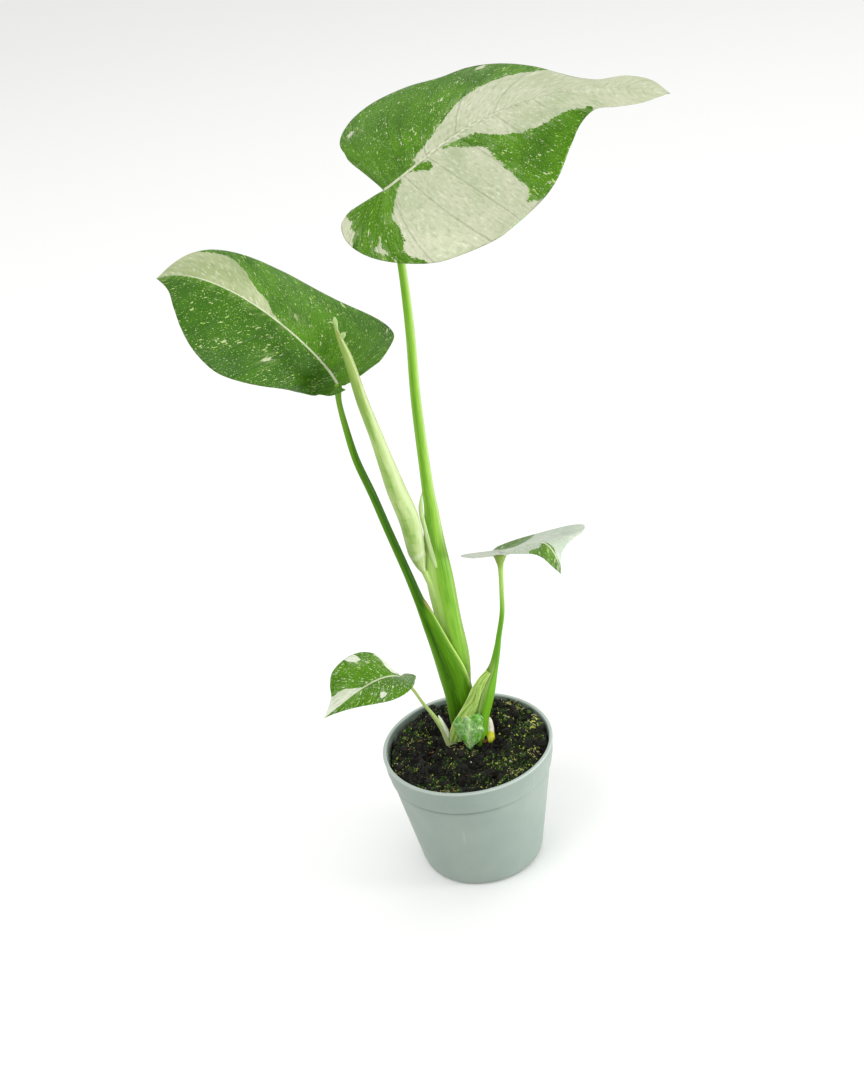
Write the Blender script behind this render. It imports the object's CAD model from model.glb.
# %% [markdown]
# # A young variegated monstera in its nursery pot
#
# Four open leaves, a new leaf still rolled into a spear, a crumpled scale at the foot, a short
# aerial root, dark peat with moss and bark in it, and a small grey-green plastic pot.
#
# Each visible surface is then made again here, finely, in the place that its solid holds. Sizes
# are thought of in millimetres, as a maker would, and turned into metres when a mesh is made.

import math

import bmesh
import bpy
import numpy as np
from mathutils import Matrix, Vector


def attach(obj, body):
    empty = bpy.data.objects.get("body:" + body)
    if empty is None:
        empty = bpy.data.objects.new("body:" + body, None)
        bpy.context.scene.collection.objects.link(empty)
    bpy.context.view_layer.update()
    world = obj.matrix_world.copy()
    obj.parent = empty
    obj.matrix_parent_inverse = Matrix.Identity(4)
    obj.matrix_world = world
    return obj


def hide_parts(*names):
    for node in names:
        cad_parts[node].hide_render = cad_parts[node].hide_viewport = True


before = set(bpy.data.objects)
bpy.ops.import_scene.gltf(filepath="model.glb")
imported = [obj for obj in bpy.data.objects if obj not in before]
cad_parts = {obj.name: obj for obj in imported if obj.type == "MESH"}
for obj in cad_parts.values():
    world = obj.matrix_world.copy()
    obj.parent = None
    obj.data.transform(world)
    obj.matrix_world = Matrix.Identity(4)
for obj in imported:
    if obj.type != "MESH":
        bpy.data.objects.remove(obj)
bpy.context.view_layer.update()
MM = 0.001
print("pieces in the frame:", len(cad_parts))

# %% [markdown]
# ## The viewpoint
#
# The plant is seen from a little above, from the front, with the pot leaning to the left in the
# picture. Leaning the camera, not the pot, keeps the pot level on its table. The camera is built
# from three directions that stand square on each other: the way it looks, the picture's right and
# the picture's up.

# %% Camera
LOOK_DOWN = math.radians(27.8)
CAMERA_LEAN = math.radians(-9)
CAMERA_PLACE = Vector((-1.2, -431.2, 355.1)) * MM

ahead = Vector((0, math.cos(LOOK_DOWN), -math.sin(LOOK_DOWN)))
level_right = Vector((1, 0, 0))
level_up = level_right.cross(ahead)
picture_right = level_right * math.cos(CAMERA_LEAN) + level_up * math.sin(CAMERA_LEAN)
picture_up = level_up * math.cos(CAMERA_LEAN) - level_right * math.sin(CAMERA_LEAN)

camera_data = bpy.data.cameras.new("camera")
camera_data.lens = 50
camera_data.sensor_width = 36
camera_data.clip_start = 0.01
camera = bpy.data.objects.new("camera", camera_data)
turn = Matrix((picture_right, picture_up, -ahead)).transposed().to_4x4()
camera.matrix_world = Matrix.Translation(CAMERA_PLACE) @ turn
bpy.context.scene.collection.objects.link(camera)
bpy.context.scene.camera = camera
print("the camera stands", round(CAMERA_PLACE.length, 3), "m from the foot of the pot")

# %% [markdown]
# ## Light and floor
#
# Soft daylight from all round keeps the shadows pale, and one large window of light from the upper
# left gives the leaves their gentle sheen. A sheet of pale card runs under the pot.

# %% Light and floor
FLOOR_COLOUR = (0.93, 0.93, 0.92, 1)


def area_light(name, place, aim, size, power):
    data = bpy.data.lights.new(name, "AREA")
    data.shape = "DISK"
    data.size = size
    data.energy = power
    light = bpy.data.objects.new(name, data)
    light.location = place
    light.rotation_euler = (Vector(aim) - Vector(place)).to_track_quat("-Z", "Y").to_euler()
    bpy.context.scene.collection.objects.link(light)


area_light("window", (-0.9, -0.7, 1.5), (0, 0, 0.15), 1.2, 9.2)
area_light("sky", (0.5, 0.6, 1.7), (0, 0, 0.1), 1.6, 5)
area_light("front_fill", (0.7, -1.3, 0.7), (0, 0, 0.12), 1.0, 1.5)
area_light("right_glow", (0.75, -0.2, 0.12), (0, 0, 0.03), 0.25, 3.8)

world = bpy.data.worlds.new("studio")
bpy.context.scene.world = world
world.use_nodes = True
world.node_tree.nodes["Background"].inputs["Color"].default_value = (1, 1, 1, 1)
world.node_tree.nodes["Background"].inputs["Strength"].default_value = 0.85
bpy.context.scene.view_settings.view_transform = "Standard"
bpy.context.scene.view_settings.look = "None"

floor_mesh = bpy.data.meshes.new("floor")
floor_mesh.from_pydata([(-6, -6, 0), (6, -6, 0), (6, 9, 0), (-6, 9, 0)], [], [(0, 1, 2, 3)])
floor = bpy.data.objects.new("floor", floor_mesh)
bpy.context.scene.collection.objects.link(floor)
floor_paint = bpy.data.materials.new("pale_card")
floor_paint.use_nodes = True
card = floor_paint.node_tree.nodes["Principled BSDF"]
card.inputs["Base Color"].default_value = FLOOR_COLOUR
card.inputs["Roughness"].default_value = 0.9
floor_mesh.materials.append(floor_paint)

# %% [markdown]
# ## Two helpers for meshes
#
# A leaf, a stem and a pot are all made the same way here: a grid of points worked out with numpy,
# joined by four-sided faces. `mesh_piece` closes the seams by merging the points that lie on each
# other, fills what gap is left, turns every face outwards, and keeps any number that a material
# will want to read at each point.

# %% Helper: a mesh from points and faces
def mesh_piece(name, points, faces, merge=2e-6, **numbers):
    mesh = bpy.data.meshes.new(name)
    mesh.from_pydata((np.asarray(points) * MM).tolist(), [], [tuple(f) for f in faces])
    for key, values in numbers.items():
        values = np.asarray(values, np.float32)
        layer = mesh.attributes.new(key, "FLOAT_VECTOR" if values.ndim == 2 else "FLOAT", "POINT")
        layer.data.foreach_set("vector" if values.ndim == 2 else "value", values.ravel())
    work = bmesh.new()
    work.from_mesh(mesh)
    bmesh.ops.remove_doubles(work, verts=work.verts, dist=merge)
    gaps = [edge for edge in work.edges if edge.is_boundary]
    bmesh.ops.holes_fill(work, edges=gaps, sides=0)
    bmesh.ops.recalc_face_normals(work, faces=work.faces)
    work.to_mesh(mesh)
    work.free()
    mesh.shade_smooth()
    piece = bpy.data.objects.new(name, mesh)
    bpy.context.scene.collection.objects.link(piece)
    return piece


def grid_faces(rows, columns, first=0):
    corner = first + np.arange(rows - 1)[:, None] * columns + np.arange(columns - 1)[None, :]
    corner = corner.ravel()
    return np.stack([corner, corner + 1, corner + columns + 1, corner + columns], axis=1).tolist()


def ring_faces(rings, sides):
    faces = []
    for i in range(rings - 1):
        for k in range(sides):
            other = (k + 1) % sides
            faces.append((i * sides + k, i * sides + other, (i + 1) * sides + other, (i + 1) * sides + k))
    return faces


def report(piece):
    work = bmesh.new()
    work.from_mesh(piece.data)
    odd_edges = sum(1 for edge in work.edges if not edge.is_manifold)
    volume = work.calc_volume(signed=True) * 1e9
    work.free()
    piece.data.calc_loop_triangles()
    triangles = len(piece.data.loop_triangles)
    print(f"{piece.name}: {triangles} triangles, {volume:.0f} cubic mm, {odd_edges} edges off two faces")


# %% [markdown]
# ## Smooth curves from a few rows of numbers
#
# A maker draws a leaf's margin or a stem's route with a few points and lets a springy strip of
# wood, a spline, run through them. `through_rows` is that strip. `pulled_curve` is the looser kind,
# a curve pulled towards its middle points, which is how the midribs were drawn.

# %% Helper: curves
def through_rows(rows, share):
    rows = np.asarray(rows, float)
    last = len(rows) - 1
    place = np.clip(share, 0, 1) * last
    start = np.minimum(place.astype(int), last - 1)
    step = (place - start)[..., None]
    before = np.where((start > 0)[..., None], rows[np.maximum(start - 1, 0)], 2 * rows[0] - rows[1])
    here = rows[start]
    there = rows[start + 1]
    after_last = 2 * rows[-1] - rows[-2]
    after = np.where((start + 2 <= last)[..., None], rows[np.minimum(start + 2, last)], after_last)
    leave = (there - before) / 2
    arrive = (after - here) / 2
    cubic = (2 * here - 2 * there + leave + arrive) * step**3
    square = (3 * there - 3 * here - 2 * leave - arrive) * step**2
    return cubic + square + leave * step + here


def pulled_curve(points, count=600):
    step = np.linspace(0, 1, count)[:, None]
    level = [np.repeat(np.array([point], float), count, axis=0) for point in points]
    while len(level) > 1:
        level = [a + (b - a) * step for a, b in zip(level, level[1:])]
    return level[0]


def unit(vectors):
    return vectors / np.linalg.norm(vectors, axis=-1, keepdims=True)


# %% [markdown]
# ## The leaf blades
#
# A blade is a flat outline, bent. On the flat leaf, x runs along the midrib and y across it. Each
# row of `veins` says where a pair of side veins leaves the midrib and where it meets the left and
# the right margin. The flat leaf is then laid along the midrib's curve, rolled, folded along the
# midrib and curled.
#
# The markings belong to the flat leaf too. `cream` and `green` are outlines of the big sectors,
# drawn on the flat leaf in millimetres; a material turns the distance to them into a ragged edge.

# %% The tall leaf, in millimetres
TALL_LEAF = dict(
    midrib=[
        (0.9, 3, 242.4), (9.6, 6.2, 245.6), (18.8, 13.6, 250.6), (45.1, 18.1, 268.5), (87, 7.1, 256.1),
    ],
    roll=(32, 30, 29),
    fold=(7, 9, 8),
    curl=(14, 15),
    droop=9,
    reach=38,
    half_thickness=0.2,
    side_veins=11,
    quilt=0.16,
    wave=0.5,
    veins=[
        (0, -0.9, 16.5, -11.5, 0.8),
        (0, -0.6, 20.5, -16.4, -1.4),
        (0, 1.2, 25.5, -18.2, -7),
        (0, 4.6, 29.2, -16.4, -13.6),
        (1, 9, 33, -11.6, -20),
        (3, 14, 36.6, -3.6, -26.4),
        (6.5, 20, 38.6, 6, -30.7),
        (12, 27, 37.4, 16, -33.4),
        (18, 33.5, 33.4, 26, -33.8),
        (25, 40, 32.4, 36, -33.2),
        (33, 46.6, 27.6, 46, -31),
        (41, 54, 19.3, 54, -26.5),
        (49, 60.5, 11.2, 60.5, -18.6),
        (57, 66, 6.5, 65, -11.8),
        (66, 72, 4.8, 70, -7.4),
        (75, 79, 6.8, 77, -6.6),
        (84, 86, 5.4, 84.5, -4.6),
        (91.7, 91.7, 0, 91.7, 0),
    ],
    cream=[
        [(12, 1.5), (17, 3.6), (22, 5.5), (27, 8.5), (31, 11.5), (35, 14.5), (40, 16.2), (45, 16.5),
         (50, 16), (55, 14.5), (60, 13.5), (96, 20), (96, -20), (70, -12), (69, -6.2), (66, -6.8),
         (61, -7), (57, -8), (54, -9.2), (50, -9.8), (45, -9.7), (40, -8.5), (36, -6), (33, -3.3),
         (28, -2.2), (22, -1), (14, -0.2)],
        [(6.5, 0), (5, -1.5), (2, -3.3), (-0.5, -6), (-3.5, -9), (-3.5, -13), (-5, -17), (-7, -19.5),
         (-6.5, -22), (-3, -26), (-4, -40), (47, -40), (46, -31.8), (42, -31.6), (35, -30), (37.5, -29),
         (39.5, -26.5), (37, -23.5), (36.5, -20.5), (34.5, -18), (34.5, -15), (33, -13), (33, -9.5),
         (31, -7.5), (28, -6), (25, -3.5), (22, -1.5), (18, 0.2)],
        [(-22, 2), (-14, 1), (-13.5, -3), (-15, -4.5), (-14.5, -6.5), (-16.5, -7), (-17.5, -9),
         (-22, -9)],
        [(-13.5, -14), (-12, -13.6), (-9.6, -11.6), (-10, -13), (-11.4, -15), (-11.2, -17),
         (-12.6, -16.4)],
        [(6.5, 27), (8, 27.4), (10, 28.6), (9.4, 29.2), (7.4, 28.4)],
        [(41, 28.5), (43, 28), (44, 29.5), (42, 30.5)],
    ],
    green=[[(9, 0.2), (12, -0.3), (14.5, -0.6), (16, -2), (15.5, -4), (13.5, -4), (12.5, -2.5), (9.5, -1)]],
)

# %% The left leaf, in millimetres
LEFT_LEAF = dict(
    midrib=[
        (-22.3, 0, 185.7), (-23.1, 14.5, 183.9), (-32.3, 7.5, 204.6), (-52.6, -0.7, 231.8),
        (-69.4, 1.5, 227.3),
    ],
    roll=(-19, -42, -17),
    fold=(-6, 5, 2),
    curl=(14, 20),
    droop=11,
    reach=30,
    half_thickness=0.2,
    side_veins=10,
    quilt=0.14,
    wave=0.3,
    veins=[
        (0, -9, -2.2, -4.4, -2.2),
        (0, -6.6, 3, -4.1, -6.4),
        (0, -1.4, 5.9, -1.8, -12.2),
        (1, 4.4, 9, 4.5, -20.2),
        (3, 10.8, 13.6, 7.5, -24.5),
        (7, 18, 18, 12, -27.8),
        (12, 26, 22, 19, -28.6),
        (18, 34.8, 25, 27, -26.6),
        (25, 43.8, 26.5, 34.5, -23.6),
        (33, 52, 25.4, 42.3, -21),
        (41, 58.5, 22.8, 49.5, -18.4),
        (49, 63, 18.6, 56, -15.4),
        (57, 65.8, 12.6, 62, -11),
        (64.5, 67.6, 6.2, 67, -5.6),
        (71.3, 71.3, 0, 71.3, 0),
    ],
    cream=[
        [(29, 0), (33, -1.2), (34.5, -3), (36, -4.6), (37.5, -5.5), (40, -6), (42, -8), (43.5, -9.5),
         (44.5, -11.5), (46.5, -13.2), (49, -14.8), (52, -14.8), (55, -13.8), (58, -12.8), (61, -12.5),
         (76, -12), (76, 1), (70, 0.2)],
        [(24, -6), (26, -6.4), (26, -8), (24.4, -7.6)],
        [(28, 12), (29.4, 12.6), (31, 15.4), (30, 15.6), (28.4, 13.4)],
    ],
    green=[],
)

# %% The right leaf, small and seen nearly edge-on
RIGHT_LEAF = dict(
    midrib=[
        (20.3, 6, 115.1), (28.9, 6.3, 115.6), (32.8, -6.3, 128.6), (37.9, -8.8, 125.1),
        (37.9, -12.9, 115.1),
    ],
    roll=(-33, -3, -31),
    fold=(-17, 8, 1),
    curl=(-4, 22),
    droop=-9,
    reach=14,
    half_thickness=0.17,
    side_veins=8,
    quilt=0.1,
    wave=0.15,
    veins=[
        (0, -1.5, 3, -8.6, -1),
        (0, -1.6, 8, -12.3, -3.6),
        (0, 0.8, 12.6, -12.6, -6.8),
        (0.5, 4.2, 16, -8.2, -8.8),
        (2, 8.2, 18.6, -1.5, -7.2),
        (5, 12.8, 20.7, 6, -6),
        (9, 17, 21.2, 13.2, -6.7),
        (13.5, 20.8, 17.5, 18.5, -6.9),
        (18, 23.1, 12, 22.8, -6),
        (23, 25.5, 6.4, 26.6, -4.4),
        (28, 28.3, 2.2, 30, -2.7),
        (33.3, 33.3, 0, 33.3, 0),
    ],
    cream=[[(-30, -30), (60, -30), (60, 40), (-30, 40)]],
    green=[
        [(-3, 7), (1.6, 5), (3.5, 4.5), (4.8, 7), (5.5, 11), (5, 15.5), (3.5, 20), (-4, 18)],
        [(21, 0.6), (24, 1.2), (27, 0.3), (30, 0.6), (34, 0.4), (30, -4), (26, -6), (21, -7),
         (19.5, -5.5), (22, -3), (20.6, -1)],
    ],
)

# %% The low leaf, the smallest
LOW_LEAF = dict(
    midrib=[
        (-18.8, -4, 80.1), (-18.6, -7, 81.4), (-22.9, -11.1, 89.4), (-32, -15.9, 86.2),
        (-45, -23.4, 81.5),
    ],
    roll=(-23, -8, -15),
    fold=(-19, -8, -9),
    curl=(9, 6),
    droop=12,
    reach=16,
    half_thickness=0.17,
    side_veins=8,
    quilt=0.12,
    wave=0.2,
    veins=[
        (0, -7, 1.2, -6, -1.2),
        (0, -8, 2.8, -7, -3),
        (0, -5, 4.2, -4.5, -4.6),
        (0, -1, 4.8, -1, -5.5),
        (1, 2.5, 6, 2.5, -7.5),
        (3, 6, 9.2, 6, -11),
        (6, 11, 12.4, 11.5, -14),
        (10, 16, 12.6, 17, -14.6),
        (14.5, 20.5, 10, 22.4, -13),
        (19, 24.5, 6.8, 26.2, -8.8),
        (24, 28.5, 3.8, 28.6, -4.8),
        (29.5, 32, 1.6, 32, -2),
        (35.3, 35.3, 0, 35.3, 0),
    ],
    cream=[
        [(19, -0.2), (21.5, -2), (23.5, -3.8), (26, -4.3), (28, -4.2), (31, -6), (38, -4), (38, 0.3),
         (22, 0.3)],
        [(12.6, -10.2), (14.5, -10.8), (16, -13), (17, -16), (13, -16), (12.4, -12)],
        [(15.2, 8.8), (16.5, 9.5), (18, 9.8), (17.8, 8.5), (16.5, 6.5), (15.3, 7.6)],
        [(-0.4, -0.8), (5.5, -1.5), (6.6, -4), (6, -8), (7, -10.4), (5, -13), (-4, -9), (-3, -4)],
    ],
    green=[],
)

# %% [markdown]
# ### Distance to a drawn outline
#
# Each point of a blade carries how far, in millimetres, it lies inside the nearest cream sector (or
# outside, as a negative number). A number like that can be cut at zero by the material, and noise
# added to it before the cut makes the edge ragged, as it is where the cells changed colour.

# %% Helper: signed distance to outlines
def distance_inside(points, outline):
    outline = np.asarray(outline, float)
    nearest = np.full(len(points), 1e9)
    inside = np.zeros(len(points), bool)
    for start, end in zip(outline, np.roll(outline, -1, axis=0)):
        side = end - start
        offset = points - start
        share = np.clip(offset @ side / (side @ side), 0, 1)
        nearest = np.minimum(nearest, np.linalg.norm(offset - share[:, None] * side, axis=1))
        spans = (start[1] > points[:, 1]) != (end[1] > points[:, 1])
        crossing = start[0] + (points[:, 1] - start[1]) * side[0] / (side[1] if side[1] else 1e-9)
        inside ^= spans & (points[:, 0] < crossing)
    return np.where(inside, nearest, -nearest)


def cream_distance(leaf, points):
    cream = np.max([distance_inside(points, outline) for outline in leaf["cream"]], axis=0)
    for outline in leaf["green"]:
        cream = np.minimum(cream, -distance_inside(points, outline))
    return cream


# %% [markdown]
# ### Bending the flat leaf
#
# `leaf_place` takes a flat point to its place in the air. It finds the midrib's point and direction
# at x, turns a sideways direction about the midrib by the roll, and walks out along an arc whose
# slope starts at the fold and grows with the curl. Behind the petiole, where x is negative, the arc
# droops backwards.

# %% Helper: a flat point's place in space
def base_middle_tip(values, share):
    base, middle, tip = values
    at_base = base * (1 - share) * (1 - 2 * share)
    at_middle = 4 * middle * share * (1 - share)
    at_tip = tip * share * (2 * share - 1)
    return at_base + at_middle + at_tip


def leaf_place(leaf, x, y, lift):
    route = pulled_curve(leaf["midrib"])
    run = np.concatenate([[0], np.cumsum(np.linalg.norm(np.diff(route, axis=0), axis=1))])
    share = np.clip(x / run[-1], 0, 1)
    place = np.stack([np.interp(share * run[-1], run, route[:, k]) for k in range(3)], axis=-1)
    slopes = np.gradient(route, run, axis=0)
    along = unit(np.stack([np.interp(share * run[-1], run, slopes[:, k]) for k in range(3)], axis=-1))
    across = unit(np.cross((0, 0, 1), along))
    upwards = np.cross(along, across)
    roll = np.radians(base_middle_tip(leaf["roll"], share))[..., None]
    side = across * np.cos(roll) + upwards * np.sin(roll)
    normal = upwards * np.cos(roll) - across * np.sin(roll)
    behind = np.maximum(-x, 0)[..., None]
    bend = math.radians(leaf["droop"]) / leaf["reach"]
    place = place - along * np.sin(bend * behind) / bend - normal * (1 - np.cos(bend * behind)) / bend
    place = place + along * np.maximum(x - run[-1], 0)[..., None]
    half = np.where(y >= 0, 1.0, -1.0)[..., None]
    curve = np.radians(np.where(y >= 0, *leaf["curl"]))[..., None] / leaf["reach"]
    start = np.radians(base_middle_tip(leaf["fold"], share))[..., None]
    slope = start + curve * np.abs(y)[..., None]
    place = place + side * half * (np.sin(slope) - np.sin(start)) / curve
    place = place - normal * (np.cos(start) - np.cos(slope)) / curve
    lift = lift[..., None]
    return place + normal * lift * np.cos(slope) + side * lift * half * np.sin(slope)


# %% [markdown]
# ### Relief
#
# A real blade is quilted: it puffs up between its side veins, has a groove along the midrib above
# and a rounded rib below, and its margin waves a little. All of it is worked out on the flat leaf.

# %% Helper: one blade
def blade_piece(name, leaf, columns=150, across=46):
    share_along = np.linspace(0, 1, columns)
    share_across = np.linspace(0, 1, across)
    rows = np.array(leaf["veins"], float)
    length = rows[-1][0]
    layers = []
    for half, margin in enumerate((rows[:, [1, 2, 0]], rows[:, [3, 4, 0]])):
        edge = through_rows(margin, share_along)
        x = edge[:, 2, None] + (edge[:, 0] - edge[:, 2])[:, None] * share_across
        y = edge[:, 1, None] * share_across
        reach_out = np.hypot(edge[:, 0] - edge[:, 2], edge[:, 1])[:, None] * share_across
        phase = (share_along * leaf["side_veins"])[:, None] - 0.35 * share_across[None, :] ** 2
        from_edge = np.sin(math.pi * np.clip(share_across * 0.94 + 0.03, 0, 1))
        puff = np.abs(np.sin(math.pi * phase)) ** 0.8 * from_edge
        wave = np.sin(2 * math.pi * (phase / 2.3 + 0.2 * edge[0, 1])) * share_across[None, :] ** 4
        taper = np.clip(1 - share_along, 0, 1)[:, None] ** 0.5
        relief = leaf["quilt"] * puff * taper + leaf["wave"] * wave * taper
        rib = np.clip(1 - x / length, 0, 1) ** 0.6 * np.clip(1 + x / 3, 0, 1)
        groove = -0.22 * rib * np.exp(-((y / 0.55) ** 2))
        keel = 0.75 * rib * np.exp(-((y / (0.3 + 0.75 * rib)) ** 2))
        thinning = np.sqrt(1 - share_across[None, :] ** 4) * np.sqrt(np.clip(share_along * 55, 0, 1))[:, None]
        for under, thickness in ((0, leaf["half_thickness"] + groove), (1, -leaf["half_thickness"] - keel)):
            points = leaf_place(leaf, x, y, relief * thinning**0.3 + thickness * thinning)
            layers.append((points, x, y, reach_out, phase, under, half))
    faces = []
    for i in range(len(layers)):
        faces += grid_faces(columns, across, first=i * columns * across)
    points = np.concatenate([layer[0].reshape(-1, 3) for layer in layers])
    x, y, reach_out, phase, under, half = (
        np.concatenate([np.broadcast_to(layer[k], (columns, across)).ravel() for layer in layers])
        for k in range(1, 7)
    )
    spacing = length / leaf["side_veins"]
    piece = mesh_piece(
        name,
        points,
        faces,
        flat=np.stack([x, y, under * 40.0], axis=1),
        grain=np.stack([reach_out, phase * spacing, half * 60.0], axis=1),
        vein=phase,
        cream=cream_distance(leaf, np.stack([x, y], axis=1)),
        under=under,
    )
    report(piece)
    return piece


tall_blade = blade_piece("tall_blade", TALL_LEAF)
left_blade = blade_piece("left_blade", LEFT_LEAF)
right_blade = blade_piece("right_blade", RIGHT_LEAF, columns=110, across=34)
low_blade = blade_piece("low_blade", LOW_LEAF, columns=110, across=34)

# %% [markdown]
# ## Helpers for materials
#
# Materials are small networks of nodes. `Paint` keeps the wiring short: `node` adds a node, sets
# its settings and its inputs, and an input given as another node's output is linked. `plus`,
# `minus` and `times` are the sums that come up most, and `give` joins results to a group's outputs.

# %% Helper: wiring nodes
class Paint:
    def __init__(self, tree):
        self.tree = tree

    def node(self, kind, inputs=None, **settings):
        made = self.tree.nodes.new(kind)
        for key, value in settings.items():
            setattr(made, key, value)
        for key, value in (inputs or {}).items():
            socket = made.inputs[key]
            if isinstance(value, bpy.types.NodeSocket):
                self.tree.links.new(value, socket)
            else:
                socket.default_value = value
        return made

    def math(self, operation, *values, clamp=False):
        made = self.node("ShaderNodeMath", dict(enumerate(values)), operation=operation, use_clamp=clamp)
        return made.outputs[0]

    def plus(self, first, second, clamp=False):
        return self.math("ADD", first, second, clamp=clamp)

    def minus(self, first, second):
        return self.math("SUBTRACT", first, second)

    def times(self, first, second, clamp=False):
        return self.math("MULTIPLY", first, second, clamp=clamp)

    def vector(self, operation, *values):
        made = self.node("ShaderNodeVectorMath", dict(enumerate(values)), operation=operation)
        return made.outputs[0]

    def stretch(self, place, factors):
        return self.vector("MULTIPLY", place, factors)

    def number(self, name):
        return self.node("ShaderNodeAttribute", attribute_name=name).outputs["Fac"]

    def place(self, name):
        return self.node("ShaderNodeAttribute", attribute_name=name).outputs["Vector"]

    def step(self, value, low, high, bottom=0.0, top=1.0):
        limits = {"Value": value, "From Min": low, "From Max": high, "To Min": bottom, "To Max": top}
        return self.node("ShaderNodeMapRange", limits, interpolation_type="SMOOTHSTEP").outputs["Result"]

    def noise(self, place, scale, detail=3.0, rough=0.55):
        inputs = {"Vector": place, "Scale": scale, "Detail": detail, "Roughness": rough}
        return self.node("ShaderNodeTexNoise", inputs).outputs["Fac"]

    def blend(self, share, first, second, how="MIX"):
        made = self.node("ShaderNodeMix", data_type="RGBA", blend_type=how)
        for socket, value in ((made.inputs[0], share), (made.inputs[6], first), (made.inputs[7], second)):
            if isinstance(value, bpy.types.NodeSocket):
                self.tree.links.new(value, socket)
            else:
                socket.default_value = value
        return made.outputs[2]

    def give(self, **results):
        for name, value in results.items():
            self.tree.links.new(value, self.results[name])
        return self.tree


SKIN_OUTPUTS = {"Color": "NodeSocketColor", "Roughness": "NodeSocketFloat", "Height": "NodeSocketFloat"}


def socket_kind(value):
    if isinstance(value, tuple):
        return "NodeSocketColor" if len(value) == 4 else "NodeSocketVector"
    return "NodeSocketFloat"


def new_group(name, inputs, outputs=SKIN_OUTPUTS):
    tree = bpy.data.node_groups.new(name, "ShaderNodeTree")
    for title, value in inputs.items():
        socket = tree.interface.new_socket(title, in_out="INPUT", socket_type=socket_kind(value))
        socket.default_value = value
    for title, kind in outputs.items():
        tree.interface.new_socket(title, in_out="OUTPUT", socket_type=kind)
    paint = Paint(tree)
    given = paint.node("NodeGroupInput").outputs
    paint.results = paint.node("NodeGroupOutput").inputs
    return paint, given


def colour(red, green, blue):
    def straight(value):
        return value / 12.92 if value <= 0.04045 else ((value + 0.055) / 1.055) ** 2.4

    return (straight(red / 255), straight(green / 255), straight(blue / 255), 1.0)


# %% [markdown]
# ## Leaf markings
#
# The cream sectors come from the outlines. The flecks come from cells of Voronoi noise, drawn in a
# space where x runs along the side veins, so that each fleck is a short dash that follows a vein,
# as it is on the plant: both come from one cell that lost its green and divided along the vein.

# %% Shader group: flecks that follow the veins
def flecks_group():
    inputs = {
        "Grain": (0, 0, 0),
        "Length": 1.0,
        "Width": 0.5,
        "Share": 0.2,
        "Size": 0.3,
    }
    paint, given = new_group("Vein flecks", inputs, {"Mask": "NodeSocketFloat"})
    cell = {"X": given["Length"], "Y": given["Width"], "Z": 1.0}
    size = paint.node("ShaderNodeCombineXYZ", cell).outputs[0]
    cells = paint.vector("DIVIDE", given["Grain"], size)
    shake = paint.node("ShaderNodeTexNoise", {"Vector": cells, "Scale": 1.6, "Detail": 4.0, "Roughness": 0.7})
    bent = paint.vector("ADD", cells, paint.stretch(shake.outputs["Color"], (1.1, 1.3, 0.0)))
    spots = paint.node("ShaderNodeTexVoronoi", {"Vector": bent, "Scale": 1.0, "Randomness": 1.0})
    pick = paint.node("ShaderNodeSeparateColor", {"Color": spots.outputs["Color"]}).outputs
    chosen = paint.math("LESS_THAN", pick[0], given["Share"])
    reach = paint.times(given["Size"], paint.plus(paint.times(pick[1], 0.8), 0.35))
    inside = paint.minus(reach, spots.outputs["Distance"])
    soft = paint.step(inside, 0.0, 0.09)
    return paint.give(Mask=paint.times(soft, chosen))


VEIN_FLECKS = flecks_group()
print("fleck sockets:", [item.name for item in VEIN_FLECKS.interface.items_tree])

# %% [markdown]
# The blade's own skin is one group as well, because four blades wear it. It gives a colour, a
# roughness and a height. Green and cream each have a darker and a lighter tone, mixed by soft noise
# stretched along the veins.

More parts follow.
